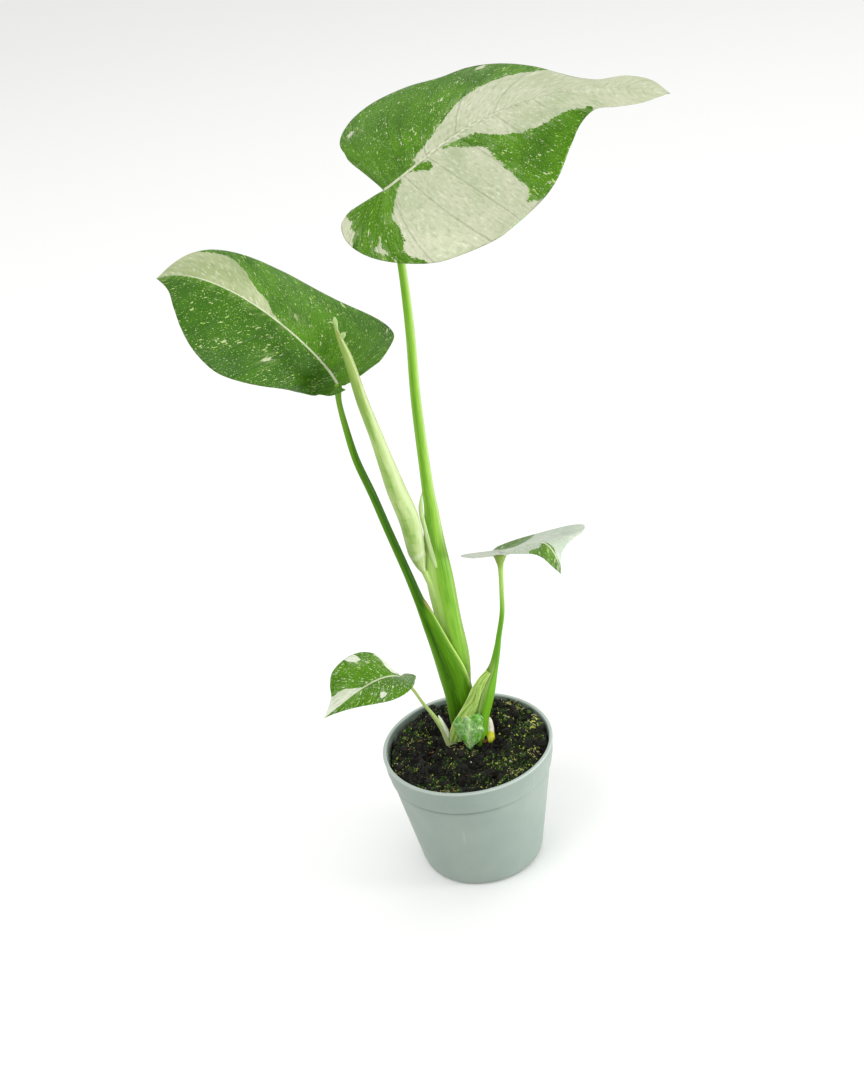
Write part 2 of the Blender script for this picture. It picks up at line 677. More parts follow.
# %% Shader group: the skin of a variegated blade
def blade_skin_group():
    inputs = {
        "Deep Green": colour(34, 76, 0),
        "Fresh Green": colour(92, 146, 4),
        "Cream": colour(197, 200, 172),
        "Mint": colour(164, 178, 138),
        "Lime": colour(160, 198, 78),
        "Mint Share": 0.5,
        "Dark Half": 0.0,
        "Fleck Share": 0.3,
        "Raggedness": 0.6,
        "Rib Length": 90.0,
        "Rib Fade": 0.8,
        "Rib": colour(218, 224, 190),
        "Back": colour(150, 186, 116),
    }
    paint, given = new_group("Variegated blade", inputs)
    grain = paint.place("grain")
    flat = paint.place("flat")
    parts = paint.node("ShaderNodeSeparateXYZ", {"Vector": flat}).outputs
    run = paint.math("DIVIDE", parts["X"], given["Rib Length"])
    before_tip = paint.step(run, 0.45, 0.72, 1.0, 0.15)
    stretched = paint.stretch(grain, (0.3, 1.0, 1.0))

    steps = paint.noise(stretched, 1.1, detail=4.0, rough=0.6)
    crumbs = paint.noise(grain, 2.4, detail=2.0)
    shift = paint.plus(paint.times(steps, 3.2), paint.times(crumbs, 1.8))
    shift = paint.times(paint.minus(shift, 2.5), given["Raggedness"])
    edge = paint.plus(paint.number("cream"), shift)
    sector = paint.step(edge, -0.1, 0.1)

    crowd = paint.step(paint.noise(flat, 0.12, detail=2.0), 0.38, 0.64, 0.7, 1.7)
    masks = []
    for length, width, share, size in ((0.55, 0.3, 1.5, 0.3), (1.35, 0.42, 0.75, 0.33), (3.2, 0.8, 0.3, 0.3)):
        chance = paint.times(paint.times(given["Fleck Share"], share), crowd)
        layer = {"Grain": grain, "Length": length, "Width": width, "Share": chance, "Size": size}
        masks.append(paint.node("ShaderNodeGroup", layer, node_tree=VEIN_FLECKS).outputs["Mask"])
    flecks = paint.math("MAXIMUM", paint.math("MAXIMUM", masks[0], masks[1]), masks[2])
    lime = paint.step(paint.noise(grain, 0.9, detail=2.0), 0.4, 0.62)
    fleck_tone = paint.blend(lime, paint.blend(0.25, given["Cream"], given["Mint"]), given["Lime"])

    stripes = paint.noise(paint.stretch(grain, (0.05, 0.34, 1.0)), 1.0, detail=3.0)
    blotches = paint.noise(flat, 0.07, detail=3.0)
    fine = paint.noise(stretched, 3.2, detail=3.0)
    speckle = paint.noise(grain, 4.4, detail=3.0)
    tone = paint.plus(paint.times(stripes, 0.3), paint.times(blotches, 0.4))
    tone = paint.plus(tone, paint.times(fine, 0.4))
    tone = paint.plus(tone, paint.times(speckle, 0.9))
    green = paint.blend(paint.step(tone, 0.74, 1.24), given["Deep Green"], given["Fresh Green"])
    half = paint.step(parts["Y"], -3.0, 3.0, -1.0, 1.0)
    half = paint.times(given["Dark Half"], half, clamp=True)
    green = paint.blend(half, green, given["Deep Green"])

    cloud = paint.noise(flat, 0.06, detail=4.0, rough=0.6)
    dust = paint.noise(stretched, 2.2, detail=4.0, rough=0.7)
    streaks = paint.noise(paint.stretch(flat, (0.07, 0.5, 1.0)), 1.0, detail=3.0)
    mint = paint.plus(paint.times(cloud, 2.2), paint.times(dust, 0.4))
    near_tip = paint.minus(1.0, before_tip)
    mint = paint.plus(mint, paint.times(paint.minus(streaks, 0.4), near_tip))
    mint = paint.plus(paint.minus(mint, 1.35), given["Mint Share"])
    pale = paint.blend(paint.step(mint, 0.05, 1.25), given["Cream"], given["Mint"])
    wrinkles = paint.noise(paint.stretch(grain, (0.3, 0.8, 1.0)), 1.7, detail=4.0, rough=0.65)
    furrow = paint.blend(0.25, given["Mint"], given["Deep Green"])
    pale = paint.blend(paint.step(wrinkles, 0.5, 0.68, 0.0, 0.5), pale, furrow)
    pale = paint.blend(paint.step(wrinkles, 0.3, 0.46, 0.5, 0.0), pale, colour(232, 236, 214))

    beside = paint.step(paint.number("cream"), -4.5, -0.3)
    bands = paint.step(paint.noise(paint.stretch(grain, (0.16, 0.9, 1.0)), 1.0), 0.44, 0.62)
    halo = paint.times(paint.times(beside, bands), 0.45)
    green = paint.blend(halo, green, paint.blend(0.5, given["Fresh Green"], given["Mint"]))
    body = paint.blend(flecks, green, fleck_tone)
    body = paint.blend(sector, body, pale)

    phase = paint.minus(paint.math("FRACT", paint.plus(paint.number("vein"), 0.5)), 0.5)
    from_vein = paint.math("ABSOLUTE", phase)
    vein_line = paint.step(from_vein, 0.0, 0.045, 1.0, 0.0)
    ripples = paint.math("SINE", paint.times(paint.number("vein"), 9 * math.pi))
    fine_lines = paint.math("ABSOLUTE", ripples)
    fine_line = paint.step(fine_lines, 0.0, 0.3, 1.0, 0.0)
    dark_vein = paint.blend(0.45, body, colour(70, 110, 60), how="MULTIPLY")
    vein_share = paint.times(before_tip, paint.plus(0.35, paint.times(sector, 0.2)))
    body = paint.blend(paint.times(vein_line, vein_share), body, dark_vein)
    body = paint.blend(paint.times(fine_line, paint.times(before_tip, 0.16)), body, dark_vein)

    rib_width = paint.step(run, 0.0, 1.0, 0.5, 0.22)
    rib = paint.math("DIVIDE", paint.math("ABSOLUTE", parts["Y"]), rib_width)
    ahead_of_stalk = paint.step(run, -0.02, 0.01)
    rib_mask = paint.times(paint.step(rib, 0.5, 1.1, 1.0, 0.0), ahead_of_stalk)
    rib_end = paint.plus(given["Rib Fade"], 0.15)
    rib_mask = paint.times(rib_mask, paint.step(run, given["Rib Fade"], rib_end, 0.85, 0.15))
    body = paint.blend(rib_mask, body, given["Rib"])

    under = paint.number("under")
    backing = paint.blend(0.5, body, given["Back"])
    body = paint.blend(under, body, backing)

    gloss = paint.plus(paint.times(fine, 0.12), 0.36)
    gloss = paint.plus(gloss, paint.times(sector, 0.06))
    gloss = paint.plus(gloss, paint.times(under, 0.2))
    height = paint.plus(paint.times(fine, 0.5), paint.times(vein_line, -0.8))
    height = paint.plus(height, paint.times(fine_line, -0.25))
    height = paint.plus(height, paint.times(dust, 0.25))
    crinkles = paint.noise(paint.stretch(grain, (0.35, 0.8, 1.0)), 0.8, detail=5.0, rough=0.6)
    height = paint.plus(height, paint.times(crinkles, 4.0))
    return paint.give(Color=body, Roughness=gloss, Height=height)


BLADE_SKIN = blade_skin_group()
print("blade skin nodes:", len(BLADE_SKIN.nodes))

# %% [markdown]
# A small helper makes a material from such a group: the group feeds the Principled shader's colour
# and roughness, and a Bump node turns its height into fine relief.

# %% Helper: a material from a skin group
def skin_material(name, group, bump, values=None, **shader):
    material = bpy.data.materials.new(name)
    material.use_nodes = True
    tree = material.node_tree
    skin = tree.nodes.new("ShaderNodeGroup")
    skin.node_tree = group
    for key, value in (values or {}).items():
        skin.inputs[key].default_value = value
    body = tree.nodes["Principled BSDF"]
    for key, value in shader.items():
        body.inputs[key.replace("_", " ")].default_value = value
    relief = tree.nodes.new("ShaderNodeBump")
    relief.inputs["Distance"].default_value = bump * MM
    relief.inputs["Strength"].default_value = 1.0
    tree.links.new(skin.outputs["Height"], relief.inputs["Height"])
    tree.links.new(relief.outputs["Normal"], body.inputs["Normal"])
    tree.links.new(skin.outputs["Color"], body.inputs["Base Color"])
    tree.links.new(skin.outputs["Roughness"], body.inputs["Roughness"])
    return material


def finish_piece(piece, material, slot, *nodes):
    piece.data.materials.append(material)
    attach(piece, "root")
    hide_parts(*nodes)


# %% The four blades get their skins
SHINE = 0.16
BLADE_LOOKS = {
    "tall": {"Rib Fade": 0.36, "Mint Share": 0.5, "Raggedness": 0.8, "Fleck Share": 0.42},
    "left": {
        "Mint Share": 0.75,
        "Fleck Share": 0.42,
        "Dark Half": 0.55,
        "Cream": colour(186, 192, 152),
        "Mint": colour(146, 160, 112),
        "Deep Green": colour(34, 76, 6),
        "Fresh Green": colour(92, 144, 24),
    },
    "right": {
        "Mint Share": 0.6,
        "Raggedness": 0.3,
        "Fleck Share": 0.6,
        "Cream": colour(200, 206, 190),
        "Mint": colour(168, 184, 164),
        "Back": colour(212, 212, 204),
        "Deep Green": colour(28, 62, 6),
        "Fresh Green": colour(104, 148, 44),
    },
    "low": {"Fleck Share": 1.0, "Raggedness": 0.35, "Mint Share": 0.1, "Cream": colour(220, 225, 205)},
}
BLADES = (
    ("tall", tall_blade, TALL_LEAF, 0.06),
    ("left", left_blade, LEFT_LEAF, 0.06),
    ("right", right_blade, RIGHT_LEAF, 0.05),
    ("low", low_blade, LOW_LEAF, 0.05),
)
for name, blade, leaf, relief in BLADES:
    looks = {"Rib Length": leaf["veins"][-1][0], **BLADE_LOOKS[name]}
    skin = skin_material(f"{name}_blade_skin", BLADE_SKIN, relief, looks, Specular_IOR_Level=SHINE)
    finish_piece(blade, skin, "leaf_blade", f"{name}_leaf_blade")

# %% [markdown]
# ## Petioles
#
# A petiole is a leaf's stalk. A monstera's petiole is round above, and below it opens into a sheath
# that wraps the next leaf's stalk. Each one is a tube whose rings run up a springy route, and a
# small function of the angle round the ring gives it its rib, its channel and its free edge. The
# same function says how light, how pale or how brown the skin is there.

# %% Helper: a stalk from rings
def soft_step(value, low, high):
    share = np.clip((value - low) / (high - low), 0, 1)
    return share * share * (3 - 2 * share)


def hump(value, centre, width):
    return np.exp(-(((value - centre) / width) ** 2))


def stalk_piece(name, rows, section, sides=64, steps=150, facing=(0, -1, 0)):
    track = through_rows(rows, np.linspace(0, 1, steps))
    centre, size = track[:, :3], track[:, 3:5]
    along = unit(np.gradient(centre, axis=0))
    wide = unit(np.cross(along, facing))
    deep = unit(np.cross(wide, along))
    ends = np.radians(np.linspace(90, 18, 5))
    ring = np.concatenate([np.zeros(5, int), np.arange(steps), np.full(5, steps - 1)])
    scale = np.concatenate([np.cos(ends), np.ones(steps), np.cos(ends[::-1])])
    push = np.concatenate([-np.sin(ends), np.zeros(steps), np.sin(ends[::-1])]) * size[ring].min(axis=1) * 0.6
    angle = np.linspace(0, 2 * math.pi, sides, endpoint=False)
    around, height = np.meshgrid(angle, centre[ring, 2])
    across, toward, marks = section(around, height)
    middle = centre[ring] + along[ring] * push[:, None]
    sideways = size[ring, 0, None] * scale[:, None] * across
    forward = size[ring, 1, None] * scale[:, None] * toward
    points = middle[:, None] + wide[ring][:, None] * sideways[..., None]
    points = points + deep[ring][:, None] * forward[..., None]
    faces = ring_faces(len(ring), sides)
    grain = np.stack([np.cos(around) * 2, np.sin(around) * 2, height * 0.06], axis=-1).reshape(-1, 3)
    layers = {key: np.broadcast_to(value, around.shape).ravel() for key, value in marks.items()}
    piece = mesh_piece(name, points.reshape(-1, 3), faces, grain=grain, **layers)
    report(piece)
    return piece


# %% [markdown]
# The tall petiole is a strong rib on the right with a thin sheath on the left, which wraps the
# stalk of the new leaf. The rib has a darker stripe down its middle and a bright one beside it,
# where light comes through.

# %% The tall petiole
TALL_PETIOLE = [
    (-0.1, 9.6, 47.2, 3.2, 2.7),
    (0.1, 9.8, 60, 3.9, 3),
    (0.7, 9.7, 75.4, 4.7, 3.1),
    (0.1, 9.4, 91.3, 4.4, 3.2),
    (-0.6, 8.9, 108, 4.6, 3.1),
    (-0.6, 8.7, 122, 3.6, 2.6),
    (0.1, 8.3, 134, 2.4, 2.1),
    (0.1, 8, 145, 1.95, 1.85),
    (0.7, 7, 174.2, 1.65, 1.6),
    (2.2, 6, 197.8, 1.45, 1.4),
    (2.7, 5, 219.2, 1.25, 1.25),
    (2, 4, 232.4, 1.25, 1.25),
    (0.9, 3, 241.4, 1.4, 1.3),
]
SHEATH_TOP = 122


def tall_section(around, height):
    side = np.cos(around)
    front = np.clip(np.sin(around), 0, 1)
    sheath = soft_step(height, SHEATH_TOP + 8, SHEATH_TOP - 6)
    rib = soft_step(side, -0.42, -0.05)
    sunk = sheath * (1 - rib) * front * 0.2
    proud = sheath * hump(side, 0.3, 0.4) * front * 0.08
    channel = (1 - sheath) * hump(side, -0.15, 0.2) * front * 0.08
    toward = np.sin(around) * (1 - sunk + proud - channel)
    dark = hump(side, 0.33 * sheath - 0.38 * (1 - sheath), 0.28) * (0.45 + 0.55 * front)
    light = 0.6 - 0.5 * dark - 0.25 * soft_step(side, 0.42, 0.7) + 0.3 * sheath * (1 - rib)
    light = light + 0.32 * soft_step(height, 112, 72)
    pale = 0.34 * sheath * (1 - rib) + 0.2 * hump(side, 0.8, 0.08)
    pale = pale + 0.3 * (1 - sheath) * soft_step(side, 0.3, 0.8)
    brown = 0.4 * sheath * soft_step(side, 0.93, 1.0) + 0.55 * sheath * soft_step(side, -0.86, -1.0)
    return side, toward, dict(light=light, pale=pale, brown=brown)


tall_petiole = stalk_piece("tall_petiole", TALL_PETIOLE, tall_section, sides=80)

# %% [markdown]
# The left petiole is the darkest. Its sheath ends in a small brown notch, and from there one free
# edge, thin and pale, runs down its right side to the foot.

# %% The left petiole
LEFT_PETIOLE = [
    (0, 8.6, 43.4, 4.3, 4.2),
    (-0.1, 8.2, 52, 4.8, 4.5),
    (-0.2, 7.6, 62, 5, 4.6),
    (-1.4, 6.6, 72.5, 4.9, 3.8),
    (-4, 5, 84.7, 3.6, 2.4),
    (-6.1, 4.2, 94, 2.8, 1.9),
    (-7.8, 4, 101.1, 2.1, 1.6),
    (-8.8, 3.7, 105, 1.7, 1.5),
    (-11, 3, 115.8, 1.45, 1.4),
    (-14.7, 2.5, 132.2, 1.35, 1.3),
    (-17.7, 2, 146.2, 1.3, 1.25),
    (-20.9, 1.5, 159.5, 1.2, 1.15),
    (-22.4, 1, 172.1, 1, 1),
    (-22.9, 0.5, 180.5, 0.9, 0.9),
    (-22.3, 0.1, 185.5, 1.2, 1.2),
]
NOTCH_HEIGHT = 104


def left_section(around, height):
    side = np.cos(around)
    sheath = soft_step(height, NOTCH_HEIGHT + 1, NOTCH_HEIGHT - 6)
    free_edge = sheath * hump(np.degrees(around), 24, 9)
    groove = sheath * hump(np.degrees(around), 40, 7)
    grow = 1 + 0.05 * free_edge - 0.07 * groove
    dark = (1 - sheath) * soft_step(side, -0.35, 0.25) + sheath * hump(side, -0.32, 0.3) * 0.75
    light = 0.62 - 0.55 * dark + 0.25 * hump(side, -0.85, 0.25) - 0.12 * (1 - sheath)
    light = light - 0.25 * soft_step(height, 62, 46) + 0.8 * soft_step(height, 148, 180)
    pale = 0.95 * free_edge + 0.25 * hump(side, -1.0, 0.12) + 0.2 * soft_step(height, 160, 182)
    brown = hump(np.degrees(around), 28, 16) * hump(height, NOTCH_HEIGHT - 2.5, 2.2)
    return side * grow, np.sin(around) * grow, dict(light=light, pale=pale, brown=brown)


left_petiole = stalk_piece("left_petiole", LEFT_PETIOLE, left_section, sides=96)

# %% [markdown]
# The right petiole stands on a broad sheath, bright green on the right, yellowish where it thins
# out to the left. Above it is a slim stalk that flares just under the blade.

# %% The right petiole
RIGHT_PETIOLE = [
    (3.2, 5.6, 43.2, 4.2, 4.2),
    (4.4, 5.4, 52, 4.4, 3.8),
    (8.7, 5, 63.7, 3.8, 2.9),
    (12.7, 5, 72, 1.8, 1.6),
    (14.9, 5, 79, 1.2, 1.1),
    (16.1, 5, 84, 0.95, 0.95),
    (18.3, 5, 93, 0.85, 0.85),
    (19.2, 5, 101.5, 0.8, 0.8),
    (19.9, 5.4, 109.9, 0.9, 0.9),
    (20.1, 5.7, 113, 1.5, 1.2),
    (20.3, 5.9, 114.9, 2.3, 1.4),
]


def right_section(around, height):
    side = np.cos(around)
    front = np.clip(np.sin(around), 0, 1)
    sheath = soft_step(height, 78, 70)
    band = soft_step(side, 0.0, 0.22)
    ridges = np.sin(side * 17 + height * 0.5) * hump(side, -0.4, 0.4) * sheath * front
    grow = 1 - 0.13 * sheath * front * (1 - band) + 0.035 * ridges
    light = 0.5 + 0.3 * sheath * hump(side, 0.5, 0.35) + 0.4 * soft_step(height, 84, 112)
    light = light - 0.25 * hump(side, 0.1, 0.3)
    pale = 0.4 * sheath * (1 - band) + 0.3 * sheath * np.clip(ridges, 0, 1) + 0.6 * soft_step(height, 90, 106)
    brown = 0.75 * hump(height, 70.5, 3.0) * soft_step(side, -0.1, -0.8)
    brown = brown + 0.7 * soft_step(height, 109, 113.5)
    brown = brown + 0.35 * sheath * hump(side, -0.45, 0.25) * soft_step(height, 56, 64)
    return side * grow, np.sin(around) * grow, dict(light=light, pale=pale, brown=brown)


right_petiole = stalk_piece("right_petiole", RIGHT_PETIOLE, right_section, sides=96)

# %% The low petiole, and the stalk of the new leaf, hidden inside the tall sheath
LOW_PETIOLE = [
    (-5.2, 4.3, 42.9, 2.2, 1.7),
    (-6.1, 3.4, 46.5, 1.9, 1.4),
    (-7.9, 2.3, 52.5, 1.1, 0.9),
    (-10.8, 1.1, 60.2, 0.7, 0.7),
    (-13.1, 0.4, 65.4, 0.55, 0.55),
    (-15.2, -0.8, 71.4, 0.55, 0.55),
    (-17, -2.4, 76, 0.6, 0.6),
    (-18.8, -4, 79.9, 0.9, 0.8),
]
NEW_PETIOLE = [
    (-0.3, 9.4, 48, 1.5, 1.5),
    (-0.8, 9.2, 60, 1.6, 1.6),
    (-1.4, 9, 78, 1.6, 1.6),
    (-2.2, 8.6, 96, 1.4, 1.4),
    (-3.4, 8, 105, 1.3, 1.3),
    (-5.2, 7.4, 112.6, 1.2, 1.2),
]


def low_section(around, height):
    side = np.cos(around)
    foot = soft_step(height, 58, 46)
    channel = 1 - 0.22 * hump(np.degrees(around), 70, 22) * (0.3 + 0.7 * foot)
    light = 0.75 - 0.35 * hump(side, 0.25, 0.35)
    pale = 0.35 + 0.45 * foot + 0.3 * soft_step(side, -0.6, -0.95)
    brown = 0.35 * soft_step(height, 60, 78) * soft_step(side, 0.2, 0.9)
    return side * channel, np.sin(around) * channel, dict(light=light, pale=pale, brown=brown)


def new_stalk_section(around, height):
    side = np.cos(around)
    return side, np.sin(around), dict(light=0.8 + 0 * side, pale=0.5 + 0 * side, brown=0 * side)


low_petiole = stalk_piece("low_petiole", LOW_PETIOLE, low_section, sides=40, steps=90)
new_petiole = stalk_piece("new_petiole", NEW_PETIOLE, new_stalk_section, sides=32, steps=50)

# %% [markdown]
# ## The new leaf, rolled into a spear
#
# A new leaf comes up rolled round itself like an umbrella. One free margin shows as a long seam on
# its right. It is pale and thin-skinned, and creased across where it was squeezed inside the
# sheath.

# %% The spear
NEW_LEAF = [
    (-5.5, 7.2, 112.4, 0.7, 0.9),
    (-6.1, 6.9, 115, 1.5, 1.6),
    (-6.5, 6.6, 118, 2.3, 2.2),
    (-6.8, 6.2, 121.5, 2.9, 2.7),
    (-7.5, 5.2, 133.7, 3.3, 3.1),
    (-9.9, 3.9, 145.6, 3.1, 3),
    (-11.6, 2.3, 155.8, 2.6, 2.5),
    (-13.4, 0, 167.5, 2.1, 2.1),
    (-15.7, -2.6, 181, 1.8, 1.8),
    (-17.5, -4.6, 195.2, 1.4, 1.4),
    (-19, -5, 202.2, 0.9, 0.9),
    (-20.1, -5.1, 208.3, 0.25, 0.25),
]


def spear_section(around, height):
    side = np.cos(around)
    degrees = np.degrees(around)
    wrap = soft_step(degrees, 30, 42) * (1 - soft_step(degrees, 150, 330))
    seam = hump(degrees, 33, 5)
    wander = height + 1.5 * np.sin(height * 0.31) + 0.8 * np.sin(height * 0.83 + 1) + 0.5 * side
    creases = soft_step(height, 172, 146) * hump(np.mod(wander, 3.7), 1.5, 0.25) * soft_step(side, 0.7, -0.2)
    node = hump(height, 120.5 + 1.2 * side, 0.9)
    slit = soft_step(height, 199, 204) * hump(degrees, 95, 28)
    grow = 1 + 0.045 * wrap - 0.05 * seam - 0.012 * creases - 0.05 * node - 0.4 * slit
    upper = soft_step(height, 162, 192)
    light = 0.8 - 0.3 * hump(side, -0.35, 0.3) - 0.22 * creases - 0.8 * upper
    pale = 0.22 + 0.45 * soft_step(side, 0.35, 0.55) + 0.5 * node - 0.3 * upper * soft_step(side, 0.7, 0.4)
    pale = pale - 0.25 * hump(side, -0.5, 0.35) - 0.12 * creases
    brown = 0.55 * slit + 0.6 * soft_step(side, 0.88, 1.0) + 0.25 * soft_step(height, 115, 112) + 0.25 * upper
    return side * grow, np.sin(around) * grow, dict(light=light, pale=pale, brown=brown)


spear = stalk_piece("spear", NEW_LEAF, spear_section, sides=80, steps=320)

# %% [markdown]
# ## Thin skins: free margins, wings and folds
#
# The dry, thin edges of the sheaths are sheets. Each is drawn between two edge lines, swells a
# little between them, is crinkled by a few waves, and thins out to nothing all round, so it is
# closed.

# %% Helper: a thin skin between two lines
def skin_piece(
    name, left, right, half_thickness=0.14, swell=0.3, crinkle=0.0, waves=5, ridges=0.8, steps=60,
    across=14, paleness=0.3,
):
    run = np.linspace(0, 1, steps)
    over = np.linspace(0, 1, across)
    left_line = through_rows(left, run)
    right_line = through_rows(right, run)
    middle = left_line[:, None] + (right_line - left_line)[:, None] * over[None, :, None]
    along = unit(np.gradient((left_line + right_line) / 2, axis=0))
    breadth = right_line - left_line
    normal = unit(np.cross(breadth, along))
    normal = np.where((normal[:, 1] > 0)[:, None], -normal, normal)
    rise = swell * 4 * over * (1 - over) * np.sin(math.pi * np.clip(run, 0.02, 0.98))[:, None]
    drift = 0.35 * np.sin(2 * math.pi * waves * 0.4 * run[:, None])
    ripple = np.sin(2 * math.pi * (ridges * over + drift + waves * 0.25 * run[:, None]))
    ripple = ripple + 0.4 * np.sin(2 * math.pi * (waves * run[:, None] + 1.3 * ridges * over))
    rise = rise + crinkle * ripple * np.sin(math.pi * over) ** 0.5
    closing = np.sqrt(np.clip(1 - (2 * over - 1) ** 4, 0, 1))
    closing = closing * np.sqrt(np.clip(np.minimum(run, 1 - run) * 14, 0, 1))[:, None]
    thickness = half_thickness * closing
    layers = [middle + normal[:, None] * (rise + sign * thickness)[..., None] for sign in (1, -1)]
    faces = grid_faces(steps, across) + grid_faces(steps, across, first=steps * across)
    points = np.concatenate([layer.reshape(-1, 3) for layer in layers])
    width = np.linalg.norm(breadth, axis=1)[:, None] * over
    whole = np.linalg.norm(np.diff(left_line, axis=0), axis=1).sum()
    length = np.linspace(0, whole, steps)[:, None] + 0 * over
    grain = np.tile(np.stack([width, length * 0.25, 0 * width], axis=-1).reshape(-1, 3), (2, 1))
    rim = soft_step(np.abs(2 * over - 1), 0.8, 1.0) + 0.35 * ripple * crinkle / 0.16 + 0 * width
    rim = np.tile(rim.ravel(), 2)
    marks = dict(light=0.7 + 0 * rim, pale=paleness + 0.6 * rim, brown=0 * rim)
    piece = mesh_piece(name, points, faces, grain=grain, **marks)
    report(piece)
    return piece


# %% The tall sheath's free margin, a pale strip left of the rib
MARGIN_LEFT = [
    (-1.9, 6.9, 142.4), (-2.9, 6.7, 140.2), (-3.9, 6.6, 136.9), (-4.0, 6.5, 133.3), (-3.6, 6.3, 128.7),
    (-3.1, 6.1, 123.0), (-2.6, 6.0, 118.7), (-1.5, 5.8, 113.9),
]
MARGIN_RIGHT = [
    (-1.8, 7.1, 142.4), (-2.2, 6.7, 138.8), (-2.5, 6.5, 134.1), (-2.2, 6.2, 129.2), (-1.7, 6.0, 123.9),
    (-1.1, 5.9, 118.9), (-0.8, 5.8, 113.8),
]
tall_margin = skin_piece("tall_sheath_margin", MARGIN_LEFT, MARGIN_RIGHT, 0.12, 0.25, 0.03, paleness=0.1)

# %% The crinkled folds at the left of the right sheath
FOLD_OUTER = [
    (10.1, 3.6, 72.6), (7.6, 3.0, 70.6), (5.3, 2.6, 68.1), (3.6, 2.2, 65.9), (2.1, 1.8, 63.2),
    (0.0, 1.4, 60.2), (-2.2, 1.2, 57.3), (-4.4, 1.0, 54.2), (-5.8, 1.0, 50.1), (-6.0, 1.2, 46.5),
]
FOLD_INNER = [
    (11.6, 3.1, 71.2), (9.6, 2.3, 68.6), (7.7, 1.8, 65.3), (6.4, 1.5, 62.4), (4.9, 1.3, 59.4),
    (3.2, 1.1, 56.3), (1.0, 0.9, 53.0), (-1.0, 0.8, 49.5), (-2.0, 0.8, 46.5),
]
FOLD_LINE = [(6.7, 1.6, 68.7), (5.6, 1.3, 65.5), (4.5, 1.1, 62.4), (2.7, 0.9, 59.4), (0.9, 0.8, 56.3)]
FOLD_LINE_END = [
    (7.8, 1.6, 68.0), (6.9, 1.2, 64.7), (5.9, 1.0, 61.4), (4.3, 0.8, 58.2), (2.4, 0.7, 55.2),
]
right_fold = skin_piece(
    "right_sheath_fold", FOLD_OUTER, FOLD_INNER, 0.16, 0.35, 0.15, waves=5, ridges=2.6, steps=110, across=40,
)
right_pleat = skin_piece("right_sheath_pleat", FOLD_LINE, FOLD_LINE_END, 0.13, 0.3, 0.06, waves=4, steps=70)

# %% The white wing of the low petiole's sheath
WING_LEFT = [(-8.8, 1.9, 58.2), (-8.3, 1.7, 55.4), (-7.4, 1.6, 51.8), (-6.4, 1.4, 48.2)]
WING_RIGHT = [(-8.3, 2.0, 58.2), (-7.2, 2.2, 55.6), (-6.1, 2.3, 52.2), (-5.4, 2.3, 49.4)]
low_wing = skin_piece(
    "low_sheath_wing", WING_LEFT, WING_RIGHT, 0.13, 0.2, 0.05, waves=3, steps=50, paleness=0.9,
)

# %% The opened tip of the spear: a little flap on each side, and a tendril
FLAP_LEFT = [(-19.7, -5.4, 205.4), (-20.0, -5.5, 207.2), (-20.1, -5.4, 208.6), (-19.6, -5.3, 209.6)]
FLAP_RIGHT = [(-19.0, -5.4, 205.2), (-18.9, -5.6, 206.8), (-18.8, -5.5, 208.3), (-19.2, -5.3, 209.5)]
SIDE_FLAP_LOW = [(-18.3, -5.5, 202.2), (-17.6, -5.7, 202.7), (-17.1, -5.8, 203.4), (-16.9, -5.7, 204.2)]
SIDE_FLAP_TOP = [(-18.7, -5.5, 203.8), (-18.3, -5.7, 204.4), (-17.7, -5.8, 204.6), (-17.1, -5.7, 204.5)]
TENDRIL = [
    (-20.0, -5.1, 207.6, 0.28, 0.28), (-20.9, -5.1, 208.1, 0.18, 0.18), (-21.7, -5.1, 207.9, 0.08, 0.08),
]
tip_flap = skin_piece("spear_tip_flap", FLAP_LEFT, FLAP_RIGHT, 0.09, 0.15, 0.03, waves=2, steps=30, across=10)
side_flap = skin_piece(
    "spear_side_flap", SIDE_FLAP_LOW, SIDE_FLAP_TOP, 0.09, 0.15, 0.03, waves=2, steps=30, across=10,
)
tendril = stalk_piece("spear_tendril", TENDRIL, new_stalk_section, sides=10, steps=14, facing=(0, 0, 1))

# %% [markdown]
# ## The foot: a crumpled scale and an aerial root
#
# The first leaf of a young plant is a scale. Here it is crumpled against the foot of the stems and
# marbled white. The root beside it is a smooth white peg with a yellow, growing tip.

# %% The scale
SCALE_LEFT = [
    (0.2, -0.4, 43.6), (-0.8, -0.1, 45.6), (-1.4, 0.1, 47.0), (-3.2, 0.4, 49.0), (-3.6, 0.6, 51.5),
    (-3.2, 0.7, 52.4), (-4.2, 0.8, 54.2), (-2.8, 1.0, 56.2), (-2.2, 1.0, 57.0),
]
SCALE_RIGHT = [
    (0.9, -0.4, 43.6), (2.6, -0.2, 45.2), (4.2, 0.0, 46.2), (5.4, 0.3, 48.6), (6.5, 0.5, 50.4),
    (6.0, 0.8, 52.0), (6.8, 0.9, 54.4), (5.6, 1.0, 57.2),
]
basal_scale = skin_piece(
    "basal_scale", SCALE_LEFT, SCALE_RIGHT, 0.4, 0.9, 0.24, waves=2.2, ridges=2.6, steps=110, across=70,
)

# %% The aerial root
AERIAL_ROOT = [
    (4.6, 9.6, 47.2, 1.0, 1.0),
    (8.2, 10.4, 47.4, 1.2, 1.2),
    (8.8, 8, 46.4, 1.3, 1.3),
    (8.5, 5.2, 45.3, 1.5, 1.45),
    (8.1, 3, 44.6, 1.75, 1.6),
    (7.9, 1.9, 44.2, 1.2, 1.1),
]


def root_section(around, height):
    turn = 1 + 0.03 * np.sin(3 * around + height)
    return np.cos(around) * turn, np.sin(around) * turn, dict(light=0 * around)


aerial_root = stalk_piece("aerial_root", AERIAL_ROOT, root_section, sides=40, steps=90, facing=(0, 0, 1))

